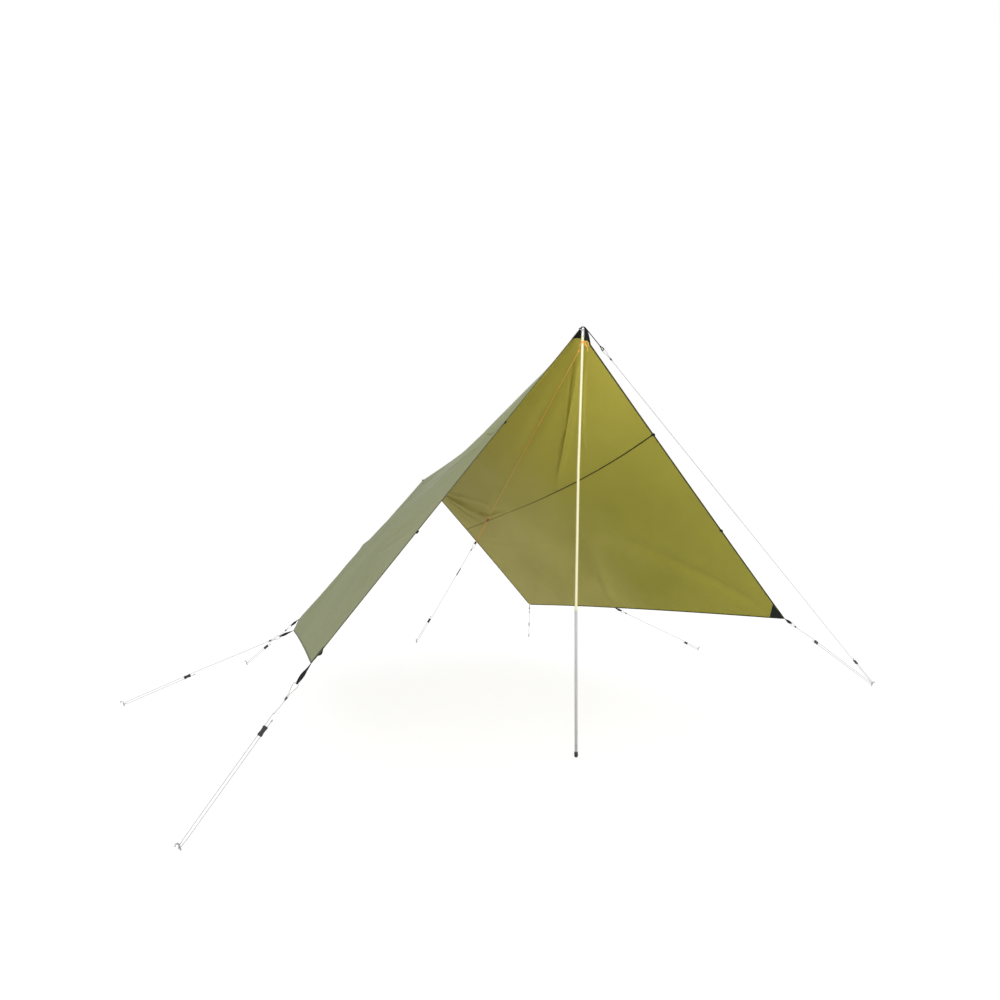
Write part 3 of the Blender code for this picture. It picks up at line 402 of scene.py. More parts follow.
low = rear_eye - along * PARALLEL_END
points += [tie + along * TIE_STRAIGHT, tie.lerp(centre, 0.5) + strand * 0.5,
           centre - along * (SLIDER_LENGTH / 2 + LEAD_IN) + strand,
           centre + along * SLIDER_LENGTH / 2 + strand, low + strand]
for x, y in ((TIE_HALF, 0.010), (TIE_HALF, 0.004), (TIE_HALF * 0.62, 0.0)):
    points.append(rear_eye + rear_across * hand * x - along * y)
for x, y in ((TIE_HALF * 0.62, 0.0), (TIE_HALF, 0.004), (TIE_HALF, 0.010)):
    points.append(rear_eye - rear_across * hand * x - along * y)
end = centre - along * (SLIDER_LENGTH / 2 + TAIL + TAIL_END) - strand
points += [low - strand, centre + along * SLIDER_LENGTH / 2 - strand,
           centre - along * SLIDER_LENGTH / 2 - strand, end]
inner_route = smooth_route(points)
inner, inner_length = braided_tube("line_inner", inner_route, CORD / 2, orange_braid, stands_for="inner_cord")
inner_tied = braided_tube("tied_end_inner", smooth_route(back), CORD / 2, orange_braid)[0]
aside = (camera_right - Vector((0, 0, camera_right.z))).normalized()
bow_route = [pole_at + aside * x + UP * z + aside.cross(UP) * y for x, y, z in BOW]
bow = braided_tube("bow_inner", smooth_route(bow_route), CORD / 2, orange_braid)[0]
inner_knots = [
    inner_tied, bow,
    wrapped_knot("wraps_inner", pole_at + UP * WRAPS_ABOVE, UP, across, *POLE_WRAPS, orange_braid),
    wrapped_knot("knot_inner", tie + along * KNOT_PAST_TIE, along, across, *INNER_KNOT, orange_braid),
    wrapped_knot("stopper_inner", end + along * KNOT_TO_END, along, across, *STOPPER_KNOT, orange_braid)]


# Canopy: three widths of thin coated ripstop, sewn edge to edge and stretched into one curved
# sheet. It falls both ways from the ridge, swells a little, and creases where its corners pull.

PEAK = np.array((0.0, 0.030, 2.380))
FRONT_CORNER = np.array((1.480, -0.15006, 0.692))
SIDE_TAB = np.array((1.29056, 1.36038, 0.550))
REAR_CORNER = np.array((1.07004, 2.39112, 0.440))
RIDGE_END = np.array((0.0, 2.460, 1.600))
HALF_FRONT = float(np.linalg.norm(FRONT_CORNER - PEAK))
HALF_REAR = float(np.linalg.norm(REAR_CORNER - RIDGE_END))
RIDGE_LENGTH = float(np.linalg.norm(RIDGE_END - PEAK))
FRONT_BAY = float(np.linalg.norm(SIDE_TAB - FRONT_CORNER))
SIDE_LENGTH = FRONT_BAY + float(np.linalg.norm(REAR_CORNER - SIDE_TAB))
SIDE_TAB_AT = FRONT_BAY / SIDE_LENGTH
MIDDLE_FRONT = 1.500
MIDDLE_REAR = 1.205
SEAM_FRONT = MIDDLE_FRONT / 2 / HALF_FRONT
SEAM_REAR = MIDDLE_REAR / 2 / HALF_REAR
FRONT_SAG = 0.006
SIDE_SAG = 0.006
REAR_SAG = 0.015
RIDGE_SAG = 0.100
SAG_FORWARD = 0.4
FULLNESS = 0.060
OUTWARD = np.cross(FRONT_CORNER - PEAK, RIDGE_END - PEAK)
OUTWARD = OUTWARD / np.linalg.norm(OUTWARD)
OUTWARD = OUTWARD if OUTWARD[2] > 0 else -OUTWARD
RIDGE_ROUND = 0.007
CLOTH = 0.0008
RIPPLE = 0.0016

# Main folds: start and end across and along the cloth, height and half width
FOLDS = [
    (0.00, 0.00, 0.36, 0.45, -0.018, 0.030),
    (0.00, 0.00, 0.20, 0.62, 0.012, 0.050),
    (0.06, 1.00, 0.40, 0.66, -0.014, 0.030),
    (0.48, 1.00, 0.20, 0.66, -0.012, 0.045),
    (0.48, 1.00, 0.62, 0.60, 0.010, 0.050),
    (1.00, 0.59, 0.66, 0.50, -0.012, 0.050),
    (1.00, 0.00, 0.62, 0.34, 0.010, 0.060),
    (1.00, 1.00, 0.70, 0.72, -0.010, 0.045),
]

# Creases of this pitch: places (across, along) that one runs through, height and half width
CREASES = [
    (((0.030, 0.022), (0.092, 0.095), (0.161, 0.189), (0.241, 0.298), (0.310, 0.400)), -0.024, 0.018),
    (((0.020, 0.040), (0.053, 0.080), (0.098, 0.140), (0.169, 0.219), (0.208, 0.306)), 0.013, 0.014),
    (((0.045, 0.012), (0.106, 0.081), (0.205, 0.175), (0.280, 0.230)), -0.010, 0.012),
    (((0.100, 0.985), (0.149, 0.946), (0.223, 0.899), (0.316, 0.854), (0.346, 0.811), (0.356, 0.750),
      (0.358, 0.690)), -0.032, 0.014),
    (((0.140, 0.985), (0.182, 0.954), (0.291, 0.930), (0.365, 0.893), (0.400, 0.860)), 0.019, 0.013),
    (((0.160, 0.990), (0.240, 0.972), (0.340, 0.948), (0.420, 0.925)), -0.017, 0.011),
    (((0.200, 0.990), (0.280, 0.980), (0.405, 0.965)), 0.011, 0.010),
    (((0.460, 0.960), (0.520, 0.930), (0.560, 0.890)), -0.005, 0.010),
    (((-0.040, 0.060), (-0.110, 0.220), (-0.180, 0.480)), -0.018, 0.018),
    (((-0.080, 0.050), (-0.200, 0.180), (-0.340, 0.340)), 0.019, 0.020),
    (((-0.120, 0.036), (-0.300, 0.110), (-0.480, 0.180)), -0.018, 0.016),
    (((-0.120, 0.022), (-0.316, 0.064), (-0.415, 0.075), (-0.520, 0.080)), 0.018, 0.015),
    (((-0.050, 0.970), (-0.120, 0.820), (-0.150, 0.600)), -0.012, 0.016),
    (((-0.090, 0.960), (-0.200, 0.800), (-0.240, 0.640)), 0.010, 0.020),
    (((-0.540, 0.050), (-0.600, 0.150), (-0.660, 0.320)), 0.009, 0.020),
    (((-0.610, 0.040), (-0.660, 0.120), (-0.700, 0.260)), -0.008, 0.014),
    (((-0.720, 0.030), (-0.770, 0.080), (-0.820, 0.180)), 0.007, 0.012),
    (((-0.760, 0.030), (-0.800, 0.080), (-0.850, 0.170)), -0.006, 0.010),
    (((-0.980, 0.050), (-0.900, 0.200), (-0.820, 0.380)), 0.008, 0.030),
]


def arch(t):
    return 4.0 * t * (1.0 - t)


def between(a, b, t):
    return a + (b - a) * t[..., None]


def fold_height(u, v):
    """Height of all folds at each point of the cloth."""
    height = np.zeros_like(u)
    for u0, v0, u1, v1, rise_by, width in FOLDS:
        run = np.array(((u1 - u0) * HALF_FRONT, (v1 - v0) * RIDGE_LENGTH))
        x = (u - u0) * HALF_FRONT
        y = (v - v0) * RIDGE_LENGTH
        share_along = (x * run[0] + y * run[1]) / (run @ run)
        on = (share_along > 0) & (share_along < 1)
        gone = np.clip(share_along, 0, 1)
        off = np.hypot(x - run[0] * share_along, y - run[1] * share_along)
        height += np.where(on, rise_by * np.sin(math.pi * gone ** 0.7) * np.exp(-(off / width) ** 2), 0.0)
    return height


def crease_height(s, v):
    """Height of the creases at each place: each follows its own bent line and dies out at both ends."""
    height = np.zeros_like(s)
    x, y = s * HALF_FRONT, v * RIDGE_LENGTH
    for places, rise_by, width in CREASES:
        line = np.array(places) * (HALF_FRONT, RIDGE_LENGTH)
        runs = np.diff(line, axis=0)
        lengths = np.linalg.norm(runs, axis=1)
        before = np.concatenate(((0.0,), np.cumsum(lengths)))
        nearest = np.full(s.shape, 9.0)
        gone = np.zeros(s.shape)
        for start, run, length, passed in zip(line, runs, lengths, before):
            share_along = ((x - start[0]) * run[0] + (y - start[1]) * run[1]) / length ** 2
            held_share = np.clip(share_along, 0, 1)
            off = np.hypot(x - start[0] - run[0] * held_share, y - start[1] - run[1] * held_share)
            closer = off < nearest
            nearest = np.where(closer, off, nearest)
            gone = np.where(closer, (passed + held_share * length) / before[-1], gone)
        height += rise_by * np.sin(math.pi * gone ** 0.8) * np.exp(-(nearest / width) ** 2)
    ripple = (np.sin(7.3 * x + 2.9 * y) * np.sin(8.1 * y - 3.7 * x)
              + 0.6 * np.sin(17.0 * y + 5.0 * x) * np.sin(13.0 * x))
    return (height + RIPPLE * ripple) * np.minimum(1, arch(np.abs(s)) * 4) * np.minimum(1, arch(v) * 4)


def half_sheet(u, v):
    """Middle of the cloth on the right half, for arrays of places on it."""
    front = between(PEAK, FRONT_CORNER, u)
    front[..., 1] += FRONT_SAG * arch(u)
    rear = between(RIDGE_END, REAR_CORNER, u)
    rear[..., 1] -= REAR_SAG * arch(u)
    ridge = between(PEAK, RIDGE_END, v)
    ridge[..., 2] -= RIDGE_SAG * arch(v) * (1 + SAG_FORWARD * (1 - 2 * v))
    t_front = np.clip(v / SIDE_TAB_AT, 0, 1)
    t_rear = np.clip((v - SIDE_TAB_AT) / (1 - SIDE_TAB_AT), 0, 1)
    ahead = (v < SIDE_TAB_AT)[..., None]
    edge = np.where(ahead, between(FRONT_CORNER, SIDE_TAB, t_front), between(SIDE_TAB, REAR_CORNER, t_rear))
    hollow = np.where(ahead[..., 0], arch(t_front), arch(t_rear)) * SIDE_SAG
    edge = edge + hollow[..., None] * np.array((-0.7, 0.0, 0.7))
    flat_front = between(PEAK, FRONT_CORNER, u)
    flat_rear = between(RIDGE_END, REAR_CORNER, u)
    corners = flat_front + (flat_rear - flat_front) * v[..., None]
    ruled = front + (rear - front) * v[..., None] + ridge + (edge - ridge) * u[..., None] - corners
    swell = FULLNESS * np.sin(math.pi * u) * np.sin(math.pi * v)
    creases = fold_height(u, v) * np.minimum(1, arch(u) * 4) * np.minimum(1, arch(v) * 4)
    return ruled + OUTWARD * (swell + creases)[..., None]


def canopy(s, v):
    """Middle of the whole cloth: s from -1 at the left edge to 1 at the right one, rounded over the ridge."""
    s, v = np.broadcast_arrays(np.asarray(s, float), np.asarray(v, float))
    round_over = RIDGE_ROUND * np.sqrt(np.clip(np.sin(math.pi * v), 0, 1))
    u = np.minimum(np.sqrt(s * s + round_over ** 2), 1.0)
    point = half_sheet(u, v)
    point += OUTWARD * crease_height(s, v)[..., None]
    point[..., 0] *= s / np.maximum(u, 1e-9)
    return point


def canopy_normal(s, v):
    """Upward normal of the cloth."""
    s, v = np.broadcast_arrays(np.asarray(s, float), np.asarray(v, float))
    step = 0.002
    across_cloth = canopy(np.minimum(s + step, 1), v) - canopy(np.maximum(s - step, -1), v)
    down_cloth = canopy(s, np.minimum(v + step, 1)) - canopy(s, np.maximum(v - step, 0))
    normal = np.cross(across_cloth, down_cloth)
    return normal / np.linalg.norm(normal, axis=-1, keepdims=True)


def seam_at(v):
    return SEAM_FRONT + (SEAM_REAR - SEAM_FRONT) * v


def half_width(v):
    return HALF_FRONT + (HALF_REAR - HALF_FRONT) * v


def finish_surface(data, sharp_from):
    """Turns a closed mesh's faces outwards and shades it smooth up to an angle in degrees."""
    built = bmesh.new()
    built.from_mesh(data)
    bmesh.ops.recalc_face_normals(built, faces=built.faces)
    built.to_mesh(data)
    built.free()
    data.shade_smooth()
    data.set_sharp_from_angle(angle=math.radians(sharp_from))


def sheet_mesh(name, s, v, low, high, materials):
    """Closed mesh of a strip of cloth: a grid of places, from one offset along the normal to another.

    The first material is on its upper side and edges, the second underneath.
    """
    point, normal = canopy(s, v), canopy_normal(s, v)
    rows, columns = s.shape
    count = rows * columns
    layers = [(point + normal * offset).reshape(-1, 3) for offset in (high, low)]
    faces = []
    for j in range(rows - 1):
        for i in range(columns - 1):
            a = j * columns + i
            faces += [(a, a + 1, a + columns + 1), (a, a + columns + 1, a + columns)]
    border = (list(range(columns)) + [j * columns + columns - 1 for j in range(1, rows)]
              + [(rows - 1) * columns + i for i in range(columns - 2, -1, -1)]
              + [j * columns for j in range(rows - 2, 0, -1)])
    sides = [(a, a + count, b + count, b) for a, b in zip(border, border[1:] + border[:1])]
    data = bpy.data.meshes.new(name)
    data.from_pydata(np.vstack(layers).tolist(), [],
                     faces + [tuple(x + count for x in reversed(f)) for f in faces] + sides)
    uv = data.uv_layers.new(name="cloth")
    flat = np.stack((s * half_width(v), v * RIDGE_LENGTH), -1).reshape(-1, 2)
    vertex_of = np.zeros(len(data.loops), int)
    data.loops.foreach_get("vertex_index", vertex_of)
    uv.data.foreach_set("uv", flat[vertex_of % count].ravel())
    for material in materials:
        data.materials.append(material)
    if len(materials) > 1:
        index = np.zeros(len(data.polygons), int)
        index[len(faces):2 * len(faces)] = 1
        data.polygons.foreach_set("material_index", index)
    finish_surface(data, 60)
    return placed(name, data)


RIB_EVERY = 0.006


def ripstop(name, colour, painted_ridge_light, rear_colour, through, roughness, mottle=0.9):
    """Coated ripstop: fine plain weave with a thicker thread every 6 mm, crumpled a little.

    Its colour is blended to a painted ridge light along the ridge, a painted glow of skylight on the
    inside and a painted sheen on the outside, and to the rear colour towards the rear edge, a painted
    sheen on the inside. through is the share of light that the cloth lets through, spread and tinted
    by it, and mottle how far its tones drift, which also breaks the painted light into patches.
    """
    made, add = new_material(name)
    place = add("ShaderNodeTexCoord").outputs["UV"]
    split = add("ShaderNodeSeparateXYZ", {0: place}).outputs
    ribs = []
    for axis in ("X", "Y"):
        wave = calc(add, "COSINE", calc(add, "MULTIPLY", split[axis], math.pi / RIB_EVERY))
        ribs.append(calc(add, "POWER", calc(add, "ABSOLUTE", wave), 24.0))
    grid = calc(add, "MAXIMUM", *ribs)
    crumple = add("ShaderNodeTexNoise", {"Vector": place, "Scale": 8.0, "Detail": 5.0,
                                         "Roughness": 0.60, "Distortion": 0.8})
    weave = add("ShaderNodeTexNoise", {"Vector": place, "Scale": 1400.0, "Detail": 2.0})
    crumpled = add("ShaderNodeBump", {"Strength": 0.20, "Distance": 0.018, "Height": crumple})
    ribbed = add("ShaderNodeBump", {"Strength": 0.16, "Distance": 0.0002, "Height": grid, "Normal": crumpled})
    woven = add("ShaderNodeBump", {"Strength": 0.12, "Distance": 0.0001, "Height": weave, "Normal": ribbed})
    cloud = add("ShaderNodeTexNoise", {"Vector": place, "Scale": 1.7, "Detail": 3.0, "Distortion": 0.5})
    drift = calc(add, "MULTIPLY_ADD", cloud, mottle, -mottle / 2)
    shade = (*colour, 1)
    # Blends towards the painted light along the ridge and the painted sheen at the rear, their edges moved by
    # the drift.
    for other, off, low, high in ((painted_ridge_light, calc(add, "ABSOLUTE", split["X"]), 1.05, 0.12),
                                  (rear_colour, split["Y"], 0.60, 2.35)):
        share = add("ShaderNodeMapRange", {"Value": calc(add, "ADD", off, drift), "From Min": low,
                                           "From Max": high}, interpolation_type="SMOOTHSTEP")
        shade = blend(add, share, shade, (*other, 1))
    tone = add("ShaderNodeMapRange", {"Value": cloud, "To Min": 0.86, "To Max": 1.12})
    dark = calc(add, "MULTIPLY_ADD", grid, -0.07, tone)
    tint = add("ShaderNodeVectorMath", {0: shade, "Scale": dark}, operation="SCALE")
    skin = add("ShaderNodeBsdfPrincipled", {"Base Color": tint, "Roughness": roughness,
                                            "Specular IOR Level": 0.22, "Normal": woven})
    lit = add("ShaderNodeBsdfTranslucent", {"Color": tint, "Normal": crumpled})
    add("ShaderNodeOutputMaterial", {"Surface": add("ShaderNodeMixShader", {0: through, 1: skin, 2: lit})})
    return made


# Outside: grey olive cloth. Its lighter, greyer tone along the ridge is a painted sheen.
olive_outside = ripstop("olive_outside", (0.258, 0.278, 0.142), (0.345, 0.370, 0.235), (0.262, 0.284, 0.146),
                        0.20, 0.60, mottle=2.2)
# Inside: a brighter, yellower copy of the same cloth, its colour painted light shining through it; lighter
# still along the ridge as painted skylight, and paler towards the rear as painted sheen.
olive_inside_lit = ripstop("olive_inside_lit", (0.415, 0.385, 0.058), (0.545, 0.485, 0.080), (0.570, 0.512, 0.175),
                       0.30, 0.62)
ROWS = np.linspace(0, 1, 241)
MIDDLE_ENDS = MIDDLE_FRONT + MIDDLE_REAR
SIDE_ENDS = HALF_FRONT + HALF_REAR - MIDDLE_ENDS / 2
for name, first, last, columns, both_ends in (
        ("middle", lambda v: -seam_at(v), seam_at, 191, MIDDLE_ENDS),
        ("right", seam_at, np.ones_like, 131, SIDE_ENDS),
        ("left", lambda v: -np.ones_like(v), lambda v: -seam_at(v), 191, SIDE_ENDS)):
    share, v_grid = np.meshgrid(np.linspace(0, 1, columns), ROWS)
    s_grid = first(v_grid) + (last(v_grid) - first(v_grid)) * share
    cloth = sheet_mesh("cloth_" + name, s_grid, v_grid, -CLOTH / 2, CLOTH / 2, (olive_outside, olive_inside_lit))
    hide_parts("canopy_" + name)
    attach(cloth, "tarp")


# Seams: the widths meet in flat-felled seams. Outside a welt of the cloth shows, and inside a narrow
# olive tape is sewn over the seam from front to rear. It is dark in front and paler at the rear.

SEAM_WIDTH = 0.008
SEAM_GAP = 0.0001
WELT_TOP = CLOTH / 2 + 0.0007
TAPE_UNDER = -CLOTH / 2 - 0.0010
SIDES = ((1, "right"), (-1, "left"))


def toned(colour, share):
    return (*(min(1, c * share) for c in colour), 1)


def woven_tape(name, colour, pitch=0.0011, rear_colour=None):
    """Woven nylon tape or webbing, pebbled at the weave's pitch and a little uneven in tone.

    A tape along the cloth may take another colour towards the rear edge.
    """
    made, add = new_material(name)
    place = add("ShaderNodeTexCoord").outputs
    spots = add("ShaderNodeTexVoronoi", {"Vector": place["Object"], "Scale": 1.0 / pitch})
    worn = add("ShaderNodeTexNoise", {"Vector": place["Object"], "Scale": 40.0, "Detail": 5.0})
    rough = add("ShaderNodeMapRange", {"Value": worn, "To Min": 0.65, "To Max": 0.87})
    shade = blend(add, worn, toned(colour, 0.75), toned(colour, 1.45))
    if rear_colour:
        down = add("ShaderNodeSeparateXYZ", {0: place["UV"]}).outputs["Y"]
        share = add("ShaderNodeMapRange", {"Value": down, "From Min": 0.9, "From Max": 2.0},
                    interpolation_type="SMOOTHSTEP")
        shade = blend(add, share, shade, (*rear_colour, 1))
    bump = add("ShaderNodeBump", {"Strength": 0.55, "Distance": 0.0004, "Height": spots})
    skin = add("ShaderNodeBsdfPrincipled", {"Base Color": shade, "Roughness": rough,
                                            "Specular IOR Level": 0.18, "Normal": bump})
    add("ShaderNodeOutputMaterial", {"Surface": skin})
    return made


seam_olive = woven_tape("seam_olive", (0.030, 0.029, 0.008), rear_colour=(0.30, 0.275, 0.07))
# The welt's second colour is a painted lighter tone along the ridge, as on the cloth.
olive_fold = ripstop("olive_fold", (0.165, 0.178, 0.060), (0.185, 0.200, 0.082), (0.172, 0.188, 0.070),
                     0.04, 0.45)
seam_rows = ROWS[1:-1]
spread = np.linspace(-1, 1, 5)
for side, hand in SIDES:
    half = SEAM_WIDTH / 2 / half_width(seam_rows)
    s_seam = side * (seam_at(seam_rows)[:, None] + half[:, None] * spread[None, :])
    v_seam = np.repeat(seam_rows[:, None], len(spread), 1)
    tape = sheet_mesh("seam_tape_" + hand, s_seam, v_seam, TAPE_UNDER, -CLOTH / 2 - SEAM_GAP, (seam_olive,))
    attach(tape, "tarp")
    welt = sheet_mesh("seam_welt_" + hand, s_seam, v_seam, CLOTH / 2 + SEAM_GAP, WELT_TOP, (olive_fold,))
    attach(welt, "tarp")


# Corner reinforcements: black cloth. Triangles are sewn under the front corners, lobes on both faces
# at the peak and a gusset under its strap, and each front corner is folded back with a small flap.

PEAK_PATCH = 0.088
PEAK_PATCH_BACK = 0.098
LOBE_HOLLOW = 2.5         # power that draws a lobe's edge in
CORNER_FOLD = 0.088
CORNER_FOLD_WIDE = 0.020
CORNER_FOLD_NARROW = 0.008
CORNER_FLAP = 0.015
FOLD_ROWS = 26
GUSSET = 0.046
GUSSET_FROM = 0.004       # along the front edge, in shares of its half, as is the next
GUSSET_SPAN = 0.044
GUSSET_HOLLOW = 0.0016
PATCH_CLOTH = 0.0008
GUSSET_CLOTH = 0.0009
ON_HEM = 0.0015
UNDER_HEM = -0.0035
black_tape = woven_tape("black_tape", (0.0085, 0.0105, 0.0090))


def dress(node, material):
    """Gives a finished piece of the frame its material."""
    for slot in nodes[node].material_slots:
        slot.material = material


def patch(name, points, columns, thickness):
    """Black cloth of some thickness through rows of points."""
    starts = [k for k in range(len(points) - columns) if k % columns < columns - 1]
    data = bpy.data.meshes.new(name)
    data.from_pydata([tuple(point) for point in points], [],
                     [(k, k + columns, k + columns + 1, k + 1) for k in starts])
    data.materials.append(black_tape)
    data.shade_smooth()
    made = placed(name, data)
    thick = made.modifiers.new("cloth", "SOLIDIFY")
    thick.thickness = thickness
    thick.offset = 0.0
    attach(made, "tarp")


for node in ("patch_front_right", "patch_front_left"):
    dress(node, black_tape)

for side, hand in SIDES:
    v_patch, share = np.meshgrid(np.linspace(0, 0.96, 18) * PEAK_PATCH_BACK / RIDGE_LENGTH,
                                 np.linspace(0, 1, 11), indexing="ij")
    tapered = (1 - v_patch * RIDGE_LENGTH / PEAK_PATCH_BACK) ** LOBE_HOLLOW
    s_patch = side * share * tapered * PEAK_PATCH / HALF_FRONT
    for layer, low in (("inner", UNDER_HEM), ("outer", ON_HEM)):
        name = "patch_peak_%s_%s" % (layer, hand)
        lobe = sheet_mesh(name, s_patch, v_patch, low, low + PATCH_CLOTH, (black_tape,))
        if layer == "inner":
            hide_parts("patch_peak")
        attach(lobe, "tarp")
    gone = np.linspace(0.02, 1, FOLD_ROWS)
    s_fold = side * (1 - gone * CORNER_FOLD / HALF_FRONT)
    at_edge = canopy(s_fold, np.zeros(FOLD_ROWS))
    up = canopy_normal(s_fold, np.zeros(FOLD_ROWS))
    inward = canopy(s_fold, np.full(FOLD_ROWS, 0.01)) - at_edge
    inward /= np.linalg.norm(inward, axis=1, keepdims=True)
    reach = (CORNER_FOLD_NARROW + (CORNER_FOLD_WIDE - CORNER_FOLD_NARROW) * gone) * np.sqrt(1.02 - gone ** 6)
    flap = CORNER_FLAP * np.exp(-((gone - 0.70) / 0.20) ** 2)
    hanging = np.array((-side * 0.50, 0.0, -0.87))
    points = []
    for i in range(FOLD_ROWS):
        foot = at_edge[i] + up[i] * (ON_HEM + PATCH_CLOTH / 2)
        points += [foot + inward[i] * reach[i] * (1 - j / 4) for j in range(4)]
        points += [foot + hanging * flap[i] * j / 4 for j in range(5)]
    patch("corner_fold_" + hand, points, 9, PATCH_CLOTH)

strap_at, strap_along = line_of("peak")[:2]
strap_root = min((vertex.co for vertex in nodes["guy_loop_peak"].data.vertices),
                 key=lambda co: co.dot(strap_along))
strap_root = strap_at + strap_along * (strap_root - strap_at).dot(strap_along)
points = []
for a in (i / 8 for i in range(9)):
    top = strap_root.lerp(strap_root + strap_along * GUSSET, a)
    low = Vector(canopy(GUSSET_FROM + GUSSET_SPAN * a, 0.0))
    for b in (j / 6 for j in range(7)):
        hollow = GUSSET_HOLLOW * math.sin(math.pi * b) * a
        points.append(top.lerp(low, b) + Vector((0.0, -hollow, hollow)))
patch("peak_gusset", points, 7, GUSSET_CLOTH)


# Edge hems: along all four edges the cloth is turned in, and dark olive tape covers the turn on the
# inside. From outside the edge is olive cloth.

HEM_WIDE = 0.0068
HEM_ROUND = 0.0014
HEM_LIP = 0.0005
RING_STEP = 0.012         # about how far apart a hem's rings are
HEM_TOP = 0.0012
HEM_UNDER = -0.0027
HEM_WALL = 0.0007
CORNER_CUT = 0.016
HEMS = {
    "front": (np.linspace(-1, 1, 401), np.zeros(401)),
    "rear": (np.linspace(-1, 1, 301), np.ones(301)),
    "right": (np.ones(241), ROWS),
    "left": (-np.ones(241), ROWS),
}
# The hem's second colour is a painted lighter tone along the ridge, as on the cloth.
olive_hem = ripstop("olive_hem", (0.070, 0.078, 0.032), (0.076, 0.086, 0.036), (0.072, 0.080, 0.033),
                    0.04, 0.45)
hem_tape = woven_tape("hem_tape", (0.036, 0.035, 0.012))


def edge_frame(s, v):
    """Points of an edge, the cloth's normal and the direction away from the cloth, corners left free."""
    point = canopy(s, v)
    passed = np.concatenate(((0.0,), np.cumsum(np.linalg.norm(np.diff(point, axis=0), axis=1))))
    kept = (passed > CORNER_CUT) & (passed < passed[-1] - CORNER_CUT)
    normal = canopy_normal(s, v)
    tangent = np.gradient(point, axis=0)
    away = np.cross(tangent, normal)
    away /= np.linalg.norm(away, axis=1, keepdims=True)
    inside = canopy(s * 0.97, 0.03 + v * 0.94) - point
    away *= np.where((away * inside).sum(1, keepdims=True) > 0, -1, 1)
    return point[kept], normal[kept], away[kept]


def hem(name, s, v):
    """U section carried along an edge: turned cloth above and round the edge, tape below."""
    middle, half = (HEM_TOP + HEM_UNDER) / 2, (HEM_TOP - HEM_UNDER) / 2
    round_edge = [(HEM_ROUND * math.sin(a), middle + half * math.cos(a))
                  for a in (math.pi * i / 6 for i in range(7))]
    section = [(-HEM_WIDE, HEM_TOP - HEM_WALL), (-HEM_WIDE, HEM_TOP)] + round_edge
    section += [(-HEM_WIDE, HEM_UNDER), (-HEM_WIDE, HEM_UNDER + HEM_WALL),
                (HEM_LIP, HEM_UNDER + HEM_WALL), (HEM_LIP, HEM_TOP - HEM_WALL)]
    point, normal, away = edge_frame(s, v)
    rings = np.stack([point + away * x + normal * z for x, z in section], 1)
    count = len(section)
    sides = [(k, (k + 1) % count) for k in range(count)]
    faces = [(j + a, j + b, j + count + b, j + count + a)
             for j in range(0, (len(point) - 1) * count, count) for a, b in sides]
    last = (len(point) - 1) * count
    faces += [tuple(range(count)), tuple(last + k for k in reversed(range(count)))]
    data = bpy.data.meshes.new(name)
    data.from_pydata(rings.reshape(-1, 3).tolist(), [], faces)
    data.materials.append(olive_hem)
    data.materials.append(hem_tape)
    under = range(5, 10)      # sides of the section, from the middle of its round, that are tape
    for face in data.polygons[:-2]:
        face.material_index = int(face.index % count in under)
    uv = data.uv_layers.new(name="cloth")
    for loop in data.loops:
        j, k = divmod(loop.vertex_index, count)
        uv.data[loop.index].uv = (section[k][0] * 2 + 0.5, j * RING_STEP)
    finish_surface(data, 50)
    made = placed(name, data)
    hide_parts("binding_" + name.split("_")[1])
    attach(made, "tarp")


for name, (s, v) in HEMS.items():
    hem("hem_" + name, s, v)


# Stitching: lock stitches in dark olive thread along the hems and the seams, drawn a little into
# the cloth.

STITCH_PITCH = 0.0042
STITCH_LENGTH = 0.0032
THREAD = 0.00032
HEM_STITCH_IN = 0.0050
SEAM_STITCH_OFF = 0.0025
thread = woven_tape("olive_thread", (0.060, 0.062, 0.026), pitch=0.0006)


def stitching_tree():
    """Geometry nodes that lay a small spindle of thread at every pitch along loose rows of edges."""
    tree = bpy.data.node_groups.new("stitch_rows", "GeometryNodeTree")
    add = nodes_into(tree)
    socket = tree.interface.new_socket
    socket("Rows", in_out="INPUT", socket_type="NodeSocketGeometry")
    keys = {}
    for label, kind in (("Pitch", "Float"), ("Stitch Length", "Float"), ("Thread", "Float"), ("Seed", "Int"),
                        ("Material", "Material")):
        keys[label] = socket(label, in_out="INPUT", socket_type="NodeSocket" + kind).identifier
    socket("Stitches", in_out="OUTPUT", socket_type="NodeSocketGeometry")
    given = add("NodeGroupInput").outputs
    rows = add("GeometryNodeMeshToCurve", {"Mesh": given["Rows"]})
    spaced = add("GeometryNodeResampleCurve", {"Curve": rows, "Length": given["Pitch"]}, mode="LENGTH")
    spindle = add("GeometryNodeMeshUVSphere", {"Segments": 5, "Rings": 4, "Radius": 1.0})
    turn = add("FunctionNodeAlignRotationToVector", {"Vector": add("GeometryNodeInputTangent")}, axis="Z")
    size = add("ShaderNodeCombineXYZ", {"X": given["Thread"], "Y": given["Thread"],
                                        "Z": calc(add, "MULTIPLY", given["Stitch Length"], 0.5)})
    uneven = add("FunctionNodeRandomValue", {2: 0.88, 3: 1.10, "Seed": given["Seed"]})
    scaled = add("ShaderNodeVectorMath", {0: size, "Scale": uneven.outputs[1]}, operation="SCALE")
    laid = add("GeometryNodeInstanceOnPoints", {"Points": spaced, "Instance": spindle, "Rotation": turn,
                                                "Scale": scaled})
    solid = add("GeometryNodeRealizeInstances", {0: laid})
    coloured = add("GeometryNodeSetMaterial", {"Geometry": solid, "Material": given["Material"]})
    add("NodeGroupOutput", {0: coloured})
    return tree, keys


stitch_rows, stitch_keys = stitching_tree()


